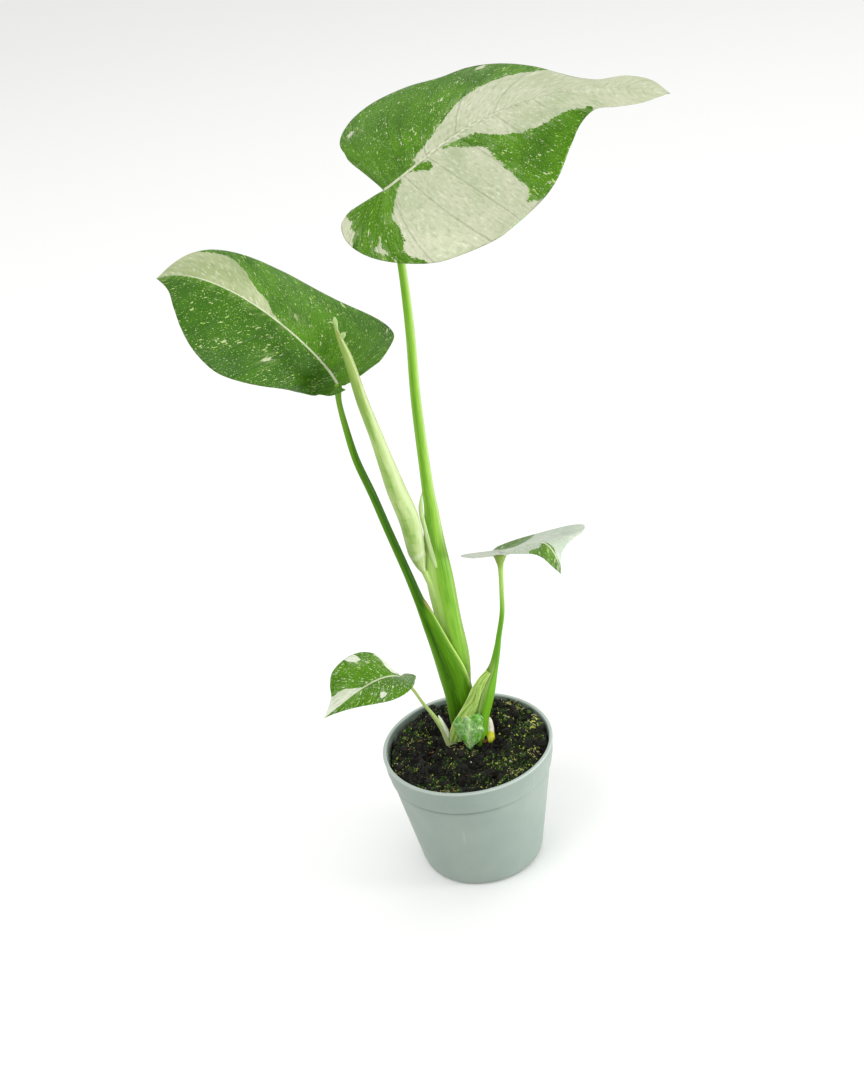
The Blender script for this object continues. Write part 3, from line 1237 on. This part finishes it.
# %% [markdown]
# ## Stalk skin
#
# One group colours every stalk: `light` slides from deep to fresh green, `pale` lays the thin,
# bloodless skin of a margin over it, `brown` the corky places. Fine stripes run along the stalk, as
# its fibres do.

# %% Shader group: the skin of a stalk
def stalk_skin_group():
    inputs = {
        "Deep": colour(84, 142, 14),
        "Fresh": colour(150, 200, 64),
        "Pale": colour(206, 222, 156),
        "Brown": colour(150, 130, 62),
        "Crumple": 0.0,
        "Mottle": 0.3,
    }
    paint, given = new_group("Stalk skin", inputs)
    grain = paint.place("grain")
    fibres = paint.noise(paint.stretch(grain, (3.2, 3.2, 1.0)), 1.6, detail=3.0)
    cloud = paint.noise(paint.stretch(grain, (0.6, 0.6, 3.0)), 0.8, detail=3.0)
    shift = paint.plus(paint.times(fibres, 0.8), paint.times(cloud, 0.34))
    light = paint.plus(paint.number("light"), paint.minus(shift, 0.57), clamp=True)
    marble = paint.noise(paint.stretch(grain, (0.7, 0.7, 1.5)), 0.9, detail=4.0, rough=0.65)
    marble = paint.times(paint.minus(marble, 0.5), given["Mottle"])
    body = paint.blend(paint.plus(light, marble, clamp=True), given["Deep"], given["Fresh"])
    ragged = paint.times(paint.minus(fibres, 0.5), 0.35)
    ragged = paint.plus(ragged, paint.times(marble, 0.5))
    pale = paint.plus(paint.number("pale"), ragged, clamp=True)
    body = paint.blend(pale, body, given["Pale"])
    brown = paint.times(paint.number("brown"), paint.step(cloud, 0.25, 0.6, 0.55, 1.15), clamp=True)
    body = paint.blend(brown, body, given["Brown"])
    gloss = paint.plus(paint.times(fibres, 0.16), 0.38)
    creases = paint.noise(grain, 1.7, detail=4.0)
    height = paint.plus(fibres, paint.times(creases, given["Crumple"]))
    return paint.give(Color=body, Roughness=gloss, Height=height)


STALK_SKIN = stalk_skin_group()

# %% The stalks get their skins
STALK_SHINE = 0.22
PLAIN_SHINE = 0.5


def stalk_material(name, relief, shine=STALK_SHINE, **looks):
    return skin_material(name, STALK_SKIN, relief, looks, Specular_IOR_Level=shine)


tall_stalk = stalk_material("tall_stalk_skin", 0.05)
left_stalk = stalk_material(
    "left_stalk_skin", 0.05, 0.5 * STALK_SHINE,
    Deep=colour(36, 80, 0), Fresh=colour(84, 138, 0), Pale=colour(172, 204, 100),
)
right_stalk = stalk_material(
    "right_stalk_skin", 0.05,
    Deep=colour(66, 126, 4), Fresh=colour(112, 172, 30),
    Pale=colour(178, 206, 116), Brown=colour(104, 124, 44),
)
low_stalk = stalk_material(
    "low_stalk_skin", 0.04, Deep=colour(76, 118, 26), Fresh=colour(146, 178, 74), Pale=colour(202, 214, 152),
)
spear_skin = stalk_material(
    "spear_skin", 0.05, Mottle=2.4,
    Deep=colour(118, 158, 66), Fresh=colour(168, 194, 112),
    Pale=colour(200, 214, 168), Brown=colour(150, 152, 74),
)
margin_skin = stalk_material(
    "margin_skin", 0.08, PLAIN_SHINE,
    Deep=colour(146, 184, 104), Fresh=colour(180, 206, 124), Pale=colour(234, 238, 220),
)
fold_skin = stalk_material(
    "fold_skin", 0.14, Crumple=2.0, Mottle=1.0,
    Deep=colour(88, 144, 20), Fresh=colour(142, 184, 52), Pale=colour(204, 220, 146),
)
finish_piece(tall_petiole, tall_stalk, "petiole", "tall_leaf_petiole")
finish_piece(left_petiole, left_stalk, "petiole", "left_leaf_petiole")
finish_piece(right_petiole, right_stalk, "petiole", "right_leaf_petiole")
finish_piece(low_petiole, low_stalk, "petiole", "low_leaf_petiole")
finish_piece(new_petiole, tall_stalk, "petiole", "new_leaf_petiole")
finish_piece(spear, spear_skin, "new_leaf", "new_leaf_blade")
for piece in (tip_flap, side_flap, tendril):
    finish_piece(piece, spear_skin, "new_leaf", "new_leaf_blade")
finish_piece(tall_margin, margin_skin, "petiole", "tall_leaf_petiole")
finish_piece(low_wing, margin_skin, "petiole", "low_leaf_petiole")
for piece in (right_fold, right_pleat):
    finish_piece(piece, fold_skin, "petiole", "right_leaf_petiole")

# %% [markdown]
# The scale is marbled: white veins wander through two greens. The root fades from a white peg to a
# yellow tip. Both patterns read Object coordinates, so they sit still on the piece from every side.

# %% Shader groups: marbled scale and root peg
def marbled_group():
    inputs = {
        "Green": colour(68, 136, 34),
        "White": colour(206, 224, 178),
    }
    paint, given = new_group("Marbled scale", inputs)
    place = paint.node("ShaderNodeTexCoord").outputs["Object"]
    large = paint.noise(place, 210.0, detail=4.0, rough=0.6)
    small = paint.noise(place, 800.0, detail=3.0)
    tone = paint.blend(paint.step(small, 0.35, 0.65), given["Green"], colour(116, 180, 66))
    vein = paint.math("ABSOLUTE", paint.minus(large, 0.5))
    threads = paint.step(vein, 0.0, 0.05, 0.45, 0.0)
    patches = paint.step(large, 0.54, 0.66, 0.0, 0.7)
    mask = paint.math("MAXIMUM", threads, patches)
    body = paint.blend(mask, tone, given["White"])
    across = paint.node("ShaderNodeSeparateXYZ", {"Vector": place}).outputs["X"]
    off_fold = paint.math("ABSOLUTE", paint.minus(across, paint.times(large, 0.002)))
    body = paint.blend(paint.step(off_fold, 0.0002, 0.0016, 0.25, 0.0), body, given["White"])
    return paint.give(
        Color=body,
        Roughness=paint.plus(paint.times(small, 0.2), 0.35),
        Height=paint.plus(large, paint.times(small, 0.4)),
    )


def root_group():
    inputs = {
        "Skin": colour(232, 226, 206),
        "Tip": colour(206, 204, 34),
        "Tip Start": 0.0048,
        "Tip End": 0.0038,
    }
    paint, given = new_group("Root peg", inputs)
    place = paint.node("ShaderNodeTexCoord").outputs["Object"]
    speck = paint.noise(place, 1300.0, detail=4.0)
    cloud = paint.noise(place, 380.0, detail=2.0)
    depth = paint.node("ShaderNodeSeparateXYZ", {"Vector": place}).outputs["Y"]
    wander = paint.times(paint.minus(cloud, 0.5), 0.0012)
    tip = paint.step(paint.plus(depth, wander), given["Tip End"], given["Tip Start"], 1.0, 0.0)
    skin = paint.blend(paint.step(speck, 0.5, 0.75, 0.0, 0.5), given["Skin"], colour(176, 158, 120))
    yellow = paint.blend(paint.step(cloud, 0.35, 0.65), given["Tip"], colour(168, 178, 24))
    return paint.give(
        Color=paint.blend(tip, skin, yellow),
        Roughness=paint.plus(paint.times(speck, 0.2), 0.4),
        Height=speck,
    )


scale_skin = skin_material("scale_skin", marbled_group(), 0.25)
ROOT_PEG = root_group()
aerial_skin = skin_material("aerial_root_skin", ROOT_PEG, 0.06)
buried_values = {"Tip Start": -1.0, "Tip End": -1.1, "Skin": colour(214, 200, 164)}
buried_skin = skin_material("buried_root_skin", ROOT_PEG, 0.1, buried_values)
crown_values = {"Tip Start": -1.0, "Tip End": -1.1, "Skin": colour(132, 148, 84)}
crown_skin = skin_material("crown_skin_green", ROOT_PEG, 0.12, crown_values)
finish_piece(basal_scale, scale_skin, "leaf_blade", "basal_scale")
finish_piece(aerial_root, aerial_skin, "root_skin", "aerial_root")
buried = {f"root_{i}": buried_skin for i in range(1, 6)}
buried["stem_base"] = crown_skin
for node, skin in buried.items():
    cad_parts[node].data.materials.clear()
    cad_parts[node].data.materials.append(skin)

# %% [markdown]
# ## The pot
#
# A nursery pot is moulded in one thin wall: a slightly tapering body, a collar under the rim that
# lets pots be pulled apart, a rounded lip and a raised floor with holes. Its half section is turned
# round the axis, with small rounds at each corner, since a moulded edge is never sharp.

# %% The pot's half section
POT_HEIGHT = 47
RIM_RADIUS = 30
LEDGE_HEIGHT = 38
COLLAR_RADIUS = 28.7
BODY_RADIUS = 28.2
FOOT_RADIUS = 21.5
WALL = 0.9
RECESS = 1.2
FLOOR_TOP = 2.3


def rounded(corners, steps=5):
    points = []
    count = len(corners)
    for i, (x, z, radius) in enumerate(corners):
        here = np.array([x, z], float)
        if radius == 0 or i in (0, count - 1):
            points.append(here)
            continue
        before = np.array(corners[i - 1][:2], float)
        after = np.array(corners[i + 1][:2], float)
        start = here + unit(before - here) * radius
        end = here + unit(after - here) * radius
        for t in np.linspace(0, 1, steps):
            points.append((1 - t) ** 2 * start + 2 * t * (1 - t) * here + t * t * end)
    return np.array(points)


POT_SECTION = rounded([
    (0, 0, 0),
    (5, 0, 0.3),
    (5.6, RECESS, 0.3),
    (17.9, RECESS, 0.3),
    (18.5, 0, 0.3),
    (FOOT_RADIUS - 0.5, 0, 1.7),
    (FOOT_RADIUS + 0.45, 2.6, 1.4),
    (BODY_RADIUS - 0.25, LEDGE_HEIGHT - 1.9, 0.6),
    (BODY_RADIUS - 0.55, LEDGE_HEIGHT - 0.95, 0.3),
    (BODY_RADIUS - 0.55, LEDGE_HEIGHT - 0.25, 0.15),
    (COLLAR_RADIUS, LEDGE_HEIGHT - 0.1, 0.25),
    (COLLAR_RADIUS + 0.46, LEDGE_HEIGHT + 3.5, 0.1),
    (COLLAR_RADIUS + 0.72, LEDGE_HEIGHT + 3.65, 0.1),
    (RIM_RADIUS - 0.25, POT_HEIGHT - 1.3, 0.3),
    (RIM_RADIUS, POT_HEIGHT - 0.75, 0.3),
    (RIM_RADIUS - 0.05, POT_HEIGHT, 0.4),
    (RIM_RADIUS - WALL - 0.3, POT_HEIGHT, 0.35),
    (RIM_RADIUS - WALL - 0.5, POT_HEIGHT - 0.8, 0.3),
    (COLLAR_RADIUS - WALL, LEDGE_HEIGHT + 0.4, 0.3),
    (BODY_RADIUS - WALL, LEDGE_HEIGHT - 0.8, 0.3),
    (FOOT_RADIUS - 0.6, FLOOR_TOP, 0.8),
    (0, FLOOR_TOP, 0),
])


def turned_piece(name, section, sides=144):
    angle = np.linspace(0, 2 * math.pi, sides, endpoint=False)
    x = section[:, 0, None] * np.cos(angle)
    y = section[:, 0, None] * np.sin(angle)
    points = np.stack([x, y, section[:, 1, None] + 0 * x], axis=-1).reshape(-1, 3)
    return mesh_piece(name, points, ring_faces(len(section), sides))


pot = turned_piece("nursery_pot", POT_SECTION)

# %% Drainage holes: six small drills, cut out with a Boolean and baked
DRAIN_RING = 12
DRAIN_RADIUS = 2
drill_work = bmesh.new()
for i in range(6):
    angle = i * math.pi / 3
    place = Matrix.Translation(Vector((math.cos(angle), math.sin(angle), 0)) * DRAIN_RING * MM)
    bmesh.ops.create_cone(drill_work, cap_ends=True, segments=28, radius1=DRAIN_RADIUS * MM,
                          radius2=DRAIN_RADIUS * MM, depth=9 * MM, matrix=place)
drill_mesh = bpy.data.meshes.new("drills")
drill_work.to_mesh(drill_mesh)
drill_work.free()
drills = bpy.data.objects.new("drills", drill_mesh)
bpy.context.scene.collection.objects.link(drills)


def baked(piece):
    bpy.context.view_layer.update()
    result = bpy.data.meshes.new_from_object(piece.evaluated_get(bpy.context.evaluated_depsgraph_get()))
    piece.modifiers.clear()
    piece.data = result
    return piece


cut = pot.modifiers.new("drainage", "BOOLEAN")
cut.object = drills
cut.operation = "DIFFERENCE"
cut.solver = "EXACT"
baked(pot)
bpy.data.objects.remove(drills)
pot.data.shade_smooth()
sharp = bmesh.new()
sharp.from_mesh(pot.data)
for edge in sharp.edges:
    edge.smooth = edge.is_manifold and edge.calc_face_angle(0) < math.radians(50)
sharp.to_mesh(pot.data)
sharp.free()
report(pot)


# %% [markdown]
# Moulded plastic isn't one flat colour: it has faint clouds from the mould, a fine orange-peel
# grain, a few scuffs, and a little peat dust where the soil touches the inside of the rim.

# %% The pot's plastic
def plastic_group():
    inputs = {
        "Body": colour(143, 156, 146),
        "Shade": colour(134, 149, 140),
        "Dust": colour(70, 60, 46),
    }
    paint, given = new_group("Moulded plastic", inputs)
    place = paint.node("ShaderNodeTexCoord").outputs["Object"]
    cloud = paint.noise(place, 45.0, detail=3.0)
    grain = paint.noise(place, 2600.0, detail=2.0)
    streak = paint.noise(paint.stretch(place, (1.0, 1.0, 0.12)), 420.0, detail=4.0)
    body = paint.blend(paint.step(cloud, 0.3, 0.7), given["Body"], given["Shade"])
    body = paint.blend(paint.step(streak, 0.62, 0.75, 0.0, 0.16), body, colour(188, 198, 194))
    parts = paint.node("ShaderNodeSeparateXYZ", {"Vector": place}).outputs
    square = paint.plus(paint.math("POWER", parts["X"], 2.0), paint.math("POWER", parts["Y"], 2.0))
    out = paint.math("SQRT", square)
    lean = paint.times(paint.minus(parts["Z"], 0.038), 0.13)
    inside = paint.step(paint.minus(out, lean), 0.0280, 0.0282, 1.0, 0.0)
    low = paint.step(parts["Z"], 0.0425, 0.0462, 1.0, 0.0)
    low = paint.times(low, paint.step(parts["Z"], 0.0385, 0.0390))
    dust_patch = paint.step(paint.noise(place, 320.0, detail=5.0, rough=0.7), 0.45, 0.62)
    dust = paint.times(paint.times(inside, low), dust_patch)
    body = paint.blend(dust, body, given["Dust"])
    groove_foot = paint.step(parts["Z"], 0.0364, 0.0371)
    groove_top = paint.step(parts["Z"], 0.0378, 0.0381, 1.0, 0.0)
    groove = paint.times(groove_foot, groove_top)
    shadow = paint.times(groove, paint.step(cloud, 0.3, 0.65, 0.05, 0.5))
    body = paint.blend(shadow, body, colour(96, 104, 96))
    body = paint.blend(paint.step(parts["Z"], 0.0462, 0.0468, 0.0, 0.55), body, colour(196, 206, 200))
    gloss = paint.plus(paint.times(cloud, 0.14), 0.42)
    gloss = paint.plus(gloss, paint.times(dust, 0.35))
    return paint.give(Color=body, Roughness=gloss, Height=paint.plus(grain, paint.times(streak, 0.5)))


pot_skin = skin_material("pot_skin", plastic_group(), 0.02)
pot.data.materials.clear()
finish_piece(pot, pot_skin, "pot_plastic", "pot")

# %% [markdown]
# ## The soil
#
# Peat is never flat: it lies in clumps with dark gaps. The body of the soil is a disc of fine rings
# whose top is pushed up and down by layered noise, worked out here in numpy so that it is the same
# each time. Three numbers on its points, `crumbs`, `moss` and `fluff`, say where loose bits lie,
# for the scattering that follows.

# %% Helper: lattice noise
HASH_PRIMES = (73856093, 19349663, 83492791)


def lattice_noise(points, seed):
    cell = np.floor(points).astype(np.int64)
    part = points - cell
    part = part * part * (3 - 2 * part)
    total = np.zeros(len(points))
    for corner in np.ndindex(*(2,) * points.shape[1]):
        place = cell + np.array(corner)
        mix = seed * 7919 + sum(place[:, k] * HASH_PRIMES[k] for k in range(points.shape[1]))
        mix = (mix ^ (mix >> 13)) * 1274126177
        value = ((mix ^ (mix >> 16)) & 0xFFFF) / 65535.0
        weight = np.prod(np.where(np.array(corner) == 1, part, 1 - part), axis=1)
        total += weight * value
    return total


def layered(points, scale, seed, layers=4, rough=0.55):
    total = np.zeros(len(points))
    weight = 1.0
    for i in range(layers):
        total += weight * (lattice_noise(points * scale * 2**i, seed + i) - 0.5)
        weight *= rough
    return total


# %% The body of the soil
SOIL_TOP = 42.3
SOIL_RADIUS = 27.8
MOUND_CENTRE = (1.5, 7.0)
BANK_HEIGHT = 3.7
SOIL_RINGS = 110
SOIL_SIDES = 288
SOIL_SKIRTS = ((27.3, 38.6), (26.9, 36.6), (20.3, 3.6), (19.3, 2.6), (0.0, 2.6))
MOSS_SPOTS = (
    (19, 2, 5), (21, -6, 4), (-20, 12, 6), (0, 24, 6), (4, -24, 5), (-14, -17, 4), (12, -12, 3),
    (20, 15, 5), (14, 20, 4), (-25, 0, 3), (-4, -25, 4), (15, -20, 4), (-1, -2, 3),
)
FLUFF_SPOTS = (
    (-3.5, -0.5, 2.2), (1.0, -3.5, 1.6), (24, 6, 2.6), (22, -9, 2.0), (-25, -6, 1.6),
    (15, -18, 2.0), (6, -22, 1.5), (19, 17, 2.2), (-10, -22, 1.6), (-21, 8, 1.6),
)


def soil_height(x, y):
    flat = np.stack([x.ravel(), y.ravel()], axis=1)
    mound = 1.3 * np.exp(-((x - MOUND_CENTRE[0]) ** 2 + (y - MOUND_CENTRE[1]) ** 2) / 81)
    outwards = soft_step(np.hypot(x, y), 12, 23)
    bank = BANK_HEIGHT * outwards * soft_step(y, -14, 2) * soft_step(x + 0.6 * y, -28, 0)
    clumps = layered(flat, 0.28, 11, layers=5).reshape(x.shape)
    lumps = np.abs(layered(flat, 0.55, 23, layers=3)).reshape(x.shape)
    edge = soft_step(np.hypot(x, y), SOIL_RADIUS, SOIL_RADIUS - 2.0)
    rough = (3.8 * clumps - 2.0 * lumps + 0.5) * (0.45 + 0.55 * edge)
    return SOIL_TOP + mound + bank + rough - 0.7 * (1 - edge)


angle = np.linspace(0, 2 * math.pi, SOIL_SIDES, endpoint=False)
radius = SOIL_RADIUS * np.linspace(0, 1, SOIL_RINGS) ** 0.75
ring_x = radius[:, None] * np.cos(angle)
ring_y = radius[:, None] * np.sin(angle)
top = np.stack([ring_x, ring_y, soil_height(ring_x, ring_y)], axis=-1)
skirts = []
for skirt_radius, skirt_height in SOIL_SKIRTS:
    skirt_x = skirt_radius * np.cos(angle)
    skirt_y = skirt_radius * np.sin(angle)
    around = np.stack([skirt_x, skirt_y, 0 * angle + skirt_height], axis=-1)
    skirts.append(around[None])
soil_points = np.concatenate([top] + skirts)
soil_faces = ring_faces(len(soil_points), SOIL_SIDES)
flat_points = soil_points.reshape(-1, 3)
from_axis = np.hypot(flat_points[:, 0], flat_points[:, 1])
on_top = (flat_points[:, 2] > SOIL_TOP - 3) & (from_axis < SOIL_RADIUS - 0.4)
patches = layered(flat_points[:, :2], 0.13, 41, layers=3)
moss = soft_step(patches, -0.16, 0.2) * on_top
for spot_x, spot_y, size in MOSS_SPOTS:
    near = np.hypot(flat_points[:, 0] - spot_x, flat_points[:, 1] - spot_y)
    moss = np.maximum(moss, np.exp(-((near / size) ** 2)) * on_top)
fluff = np.zeros(len(flat_points))
for spot_x, spot_y, size in FLUFF_SPOTS:
    near = np.hypot(flat_points[:, 0] - spot_x, flat_points[:, 1] - spot_y)
    fluff = np.maximum(fluff, np.exp(-((near / size) ** 2)) * on_top)
soil = mesh_piece("peat_soil", flat_points, soil_faces, crumbs=on_top * 1.0, moss=moss, fluff=fluff)
report(soil)

# %% [markdown]
# ### Loose bits
#
# Crumbs, moss, straw, bark fibres and perlite repeat in their hundreds, which is work for Geometry
# Nodes. The tree spreads points over the soil where an attribute allows, sets a small rough shape
# on each, turned and sized at random from a fixed seed, makes them real and gives them their
# material.

# %% Geometry Nodes: scatter small shapes over the soil
SCATTER_INPUTS = {
    "Where": "NodeSocketString",
    "Density": "NodeSocketFloat",
    "Smallest": "NodeSocketFloat",
    "Largest": "NodeSocketFloat",
    "Seed": "NodeSocketInt",
    "Lift": "NodeSocketFloat",
    "Finish": "NodeSocketMaterial",
}


def scatter_tree(name, shape):
    tree = bpy.data.node_groups.new(name, "GeometryNodeTree")
    face = tree.interface
    face.new_socket("Geometry", in_out="INPUT", socket_type="NodeSocketGeometry")
    for title, kind in SCATTER_INPUTS.items():
        face.new_socket(title, in_out="INPUT", socket_type=kind)
    face.new_socket("Geometry", in_out="OUTPUT", socket_type="NodeSocketGeometry")
    paint = Paint(tree)
    given = paint.node("NodeGroupInput").outputs
    put = paint.node("NodeGroupOutput").inputs
    where = paint.node("GeometryNodeInputNamedAttribute", {"Name": given["Where"]}, data_type="FLOAT")
    amount = paint.times(where.outputs[0], given["Density"])
    ground = {"Mesh": given["Geometry"], "Seed": given["Seed"]}
    points = paint.node("GeometryNodeDistributePointsOnFaces", ground)
    tree.links.new(amount, points.inputs["Density"])
    kinds = paint.node("GeometryNodeGeometryToInstance")
    for i in range(3):
        tree.links.new(shape(paint, i), kinds.inputs[0])
    size = paint.node("FunctionNodeRandomValue", {"Seed": given["Seed"]}, data_type="FLOAT")
    tree.links.new(given["Smallest"], size.inputs[2])
    tree.links.new(given["Largest"], size.inputs[3])
    turn = paint.node("FunctionNodeRandomValue", data_type="FLOAT_VECTOR")
    turn.inputs[0].default_value = (-0.5, -0.5, 0.0)
    turn.inputs[1].default_value = (0.5, 0.5, 6.28)
    placed = paint.node("GeometryNodeInstanceOnPoints", {"Points": points.outputs["Points"]})
    tree.links.new(kinds.outputs[0], placed.inputs["Instance"])
    placed.inputs["Pick Instance"].default_value = True
    tree.links.new(size.outputs[1], placed.inputs["Scale"])
    tree.links.new(turn.outputs[0], placed.inputs["Rotation"])
    lifted = paint.node("GeometryNodeTranslateInstances", {"Instances": placed.outputs[0]})
    lifted.inputs["Local Space"].default_value = False
    rise = paint.node("ShaderNodeCombineXYZ", {"Z": given["Lift"]})
    tree.links.new(rise.outputs[0], lifted.inputs["Translation"])
    real = paint.node("GeometryNodeRealizeInstances", {"Geometry": lifted.outputs[0]})
    finish = paint.node("GeometryNodeSetMaterial", {"Geometry": real.outputs[0], "Material": given["Finish"]})
    tree.links.new(finish.outputs[0], put["Geometry"])
    return tree


def crumb_shape(paint, kind, detail=1):
    ball = paint.node("GeometryNodeMeshIcoSphere", {"Radius": 1.0, "Subdivisions": detail})
    place = paint.node("GeometryNodeInputPosition").outputs[0]
    moved = paint.vector("ADD", place, (kind * 7.3, kind * 3.1, 0.0))
    bumps = paint.node("ShaderNodeTexNoise", {"Vector": moved, "Scale": 1.4, "Detail": 2.0}).outputs["Color"]
    shift = paint.stretch(paint.vector("SUBTRACT", bumps, (0.5, 0.5, 0.5)), (1.9, 1.9, 1.5))
    shaped = paint.node("GeometryNodeSetPosition", {"Geometry": ball.outputs["Mesh"], "Offset": shift})
    return shaped.outputs[0]


def clump_shape(paint, kind):
    return crumb_shape(paint, kind, detail=2)


def fibre_shape(paint, kind):
    bend = paint.node("GeometryNodeCurvePrimitiveBezierSegment", {"Resolution": 6})
    bend.inputs["Start"].default_value = (-1.0, 0.0, 0.0)
    bend.inputs["Start Handle"].default_value = (-0.4, 0.5 - kind * 0.4, 0.2)
    bend.inputs["End Handle"].default_value = (0.4, -0.3 + kind * 0.35, 0.25)
    bend.inputs["End"].default_value = (1.0, 0.1 * kind, 0.0)
    ring = paint.node("GeometryNodeCurvePrimitiveCircle", {"Resolution": 5, "Radius": 0.075 + 0.03 * kind})
    tube = paint.node("GeometryNodeCurveToMesh", {"Curve": bend.outputs[0], "Profile Curve": ring.outputs[0]})
    tube.inputs["Fill Caps"].default_value = True
    return tube.outputs[0]


CRUMBS = scatter_tree("Scatter crumbs", crumb_shape)
CLUMPS = scatter_tree("Scatter clumps", clump_shape)
FIBRES = scatter_tree("Scatter fibres", fibre_shape)


def scattered(name, tree, material, where, density, smallest, largest, seed, lift):
    mesh = soil.data.copy()
    piece = bpy.data.objects.new(name, mesh)
    bpy.context.scene.collection.objects.link(piece)
    spread = piece.modifiers.new("scatter", "NODES")
    spread.node_group = tree
    given = {
        "Where": where,
        "Density": density,
        "Smallest": smallest * MM,
        "Largest": largest * MM,
        "Seed": seed,
        "Lift": lift * MM,
        "Finish": material,
    }
    for item in tree.interface.items_tree:
        if item.in_out == "INPUT" and item.name in given:
            spread[item.identifier] = given[item.name]
    baked(piece)
    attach(piece, "root")
    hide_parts("soil")
    report(piece)


# %% [markdown]
# ### Peat, crumbs, moss, straw, bark and perlite
#
# Six finishes come from one group of nodes, with other tones and another size of grain for each.

# %% Shader group: earthy things
def earth_group():
    inputs = {
        "Dark": colour(4, 5, 3),
        "Light": colour(20, 18, 11),
        "Fleck": colour(66, 54, 28),
        "Fleck Share": 0.72,
        "Scale": 700.0,
    }
    paint, given = new_group("Earthy", inputs)
    place = paint.node("ShaderNodeTexCoord").outputs["Object"]
    broad = paint.noise(place, given["Scale"], detail=4.0, rough=0.65)
    fine = paint.noise(place, paint.times(given["Scale"], 4.0), detail=3.0)
    body = paint.blend(paint.step(broad, 0.35, 0.68), given["Dark"], given["Light"])
    grit = paint.noise(place, paint.times(given["Scale"], 2.3), detail=1.0)
    fleck = paint.math("GREATER_THAN", grit, given["Fleck Share"])
    body = paint.blend(fleck, body, given["Fleck"])
    return paint.give(
        Color=body,
        Roughness=paint.plus(paint.times(fine, 0.2), 0.78),
        Height=paint.plus(broad, paint.times(fine, 0.6)),
    )


EARTH = earth_group()
peat_skin = skin_material("peat", EARTH, 0.5)
crumb_skin = skin_material("peat_crumb", EARTH, 0.3, {"Light": colour(27, 24, 14), "Fleck Share": 0.7})
moss_values = {
    "Dark": colour(14, 34, 8), "Light": colour(66, 100, 24), "Fleck": colour(196, 206, 96),
    "Fleck Share": 0.64, "Scale": 420.0,
}
moss_skin = skin_material("moss", EARTH, 0.2, moss_values)
straw_values = {"Dark": colour(150, 140, 76), "Light": colour(240, 230, 160), "Fleck": colour(252, 250, 226)}
straw_skin = skin_material("straw_fleck", EARTH, 0.15, straw_values)
bark_values = {"Dark": colour(92, 56, 24), "Light": colour(176, 122, 62), "Fleck": colour(206, 166, 104)}
bark_skin = skin_material("bark_fibre", EARTH, 0.15, bark_values)
perlite_values = {
    "Dark": colour(196, 192, 180), "Light": colour(236, 234, 226), "Fleck": colour(170, 160, 140),
}
perlite_skin = skin_material("perlite_grain", EARTH, 0.2, perlite_values)
finish_piece(soil, peat_skin, "peat_mix", "soil")

# %% Spread the loose bits: where they lie, how many to a square metre, smallest, largest, seed and lift
LOOSE_BITS = (
    ("peat_clumps", CLUMPS, crumb_skin, "crumbs", 6e4, 0.7, 1.6, 11, -0.1),
    ("peat_crumbs", CRUMBS, crumb_skin, "crumbs", 7e5, 0.2, 0.8, 3, 0.1),
    ("moss_tufts", CRUMBS, moss_skin, "moss", 3.2e6, 0.16, 0.5, 5, 0.3),
    ("moss_threads", FIBRES, moss_skin, "moss", 1.2e6, 0.2, 0.8, 13, 0.4),
    ("straw_flecks", FIBRES, straw_skin, "fluff", 2.4e6, 0.25, 0.9, 29, 0.5),
    ("straw_crumbs", CRUMBS, straw_skin, "moss", 2.2e5, 0.08, 0.24, 31, 0.5),
    ("bark_fibres", FIBRES, bark_skin, "crumbs", 1.3e4, 0.5, 2.0, 8, 0.3),
    ("perlite_bits", CRUMBS, perlite_skin, "crumbs", 5e3, 0.15, 0.45, 17, 0.3),
)
for bits in LOOSE_BITS:
    scattered(*bits)
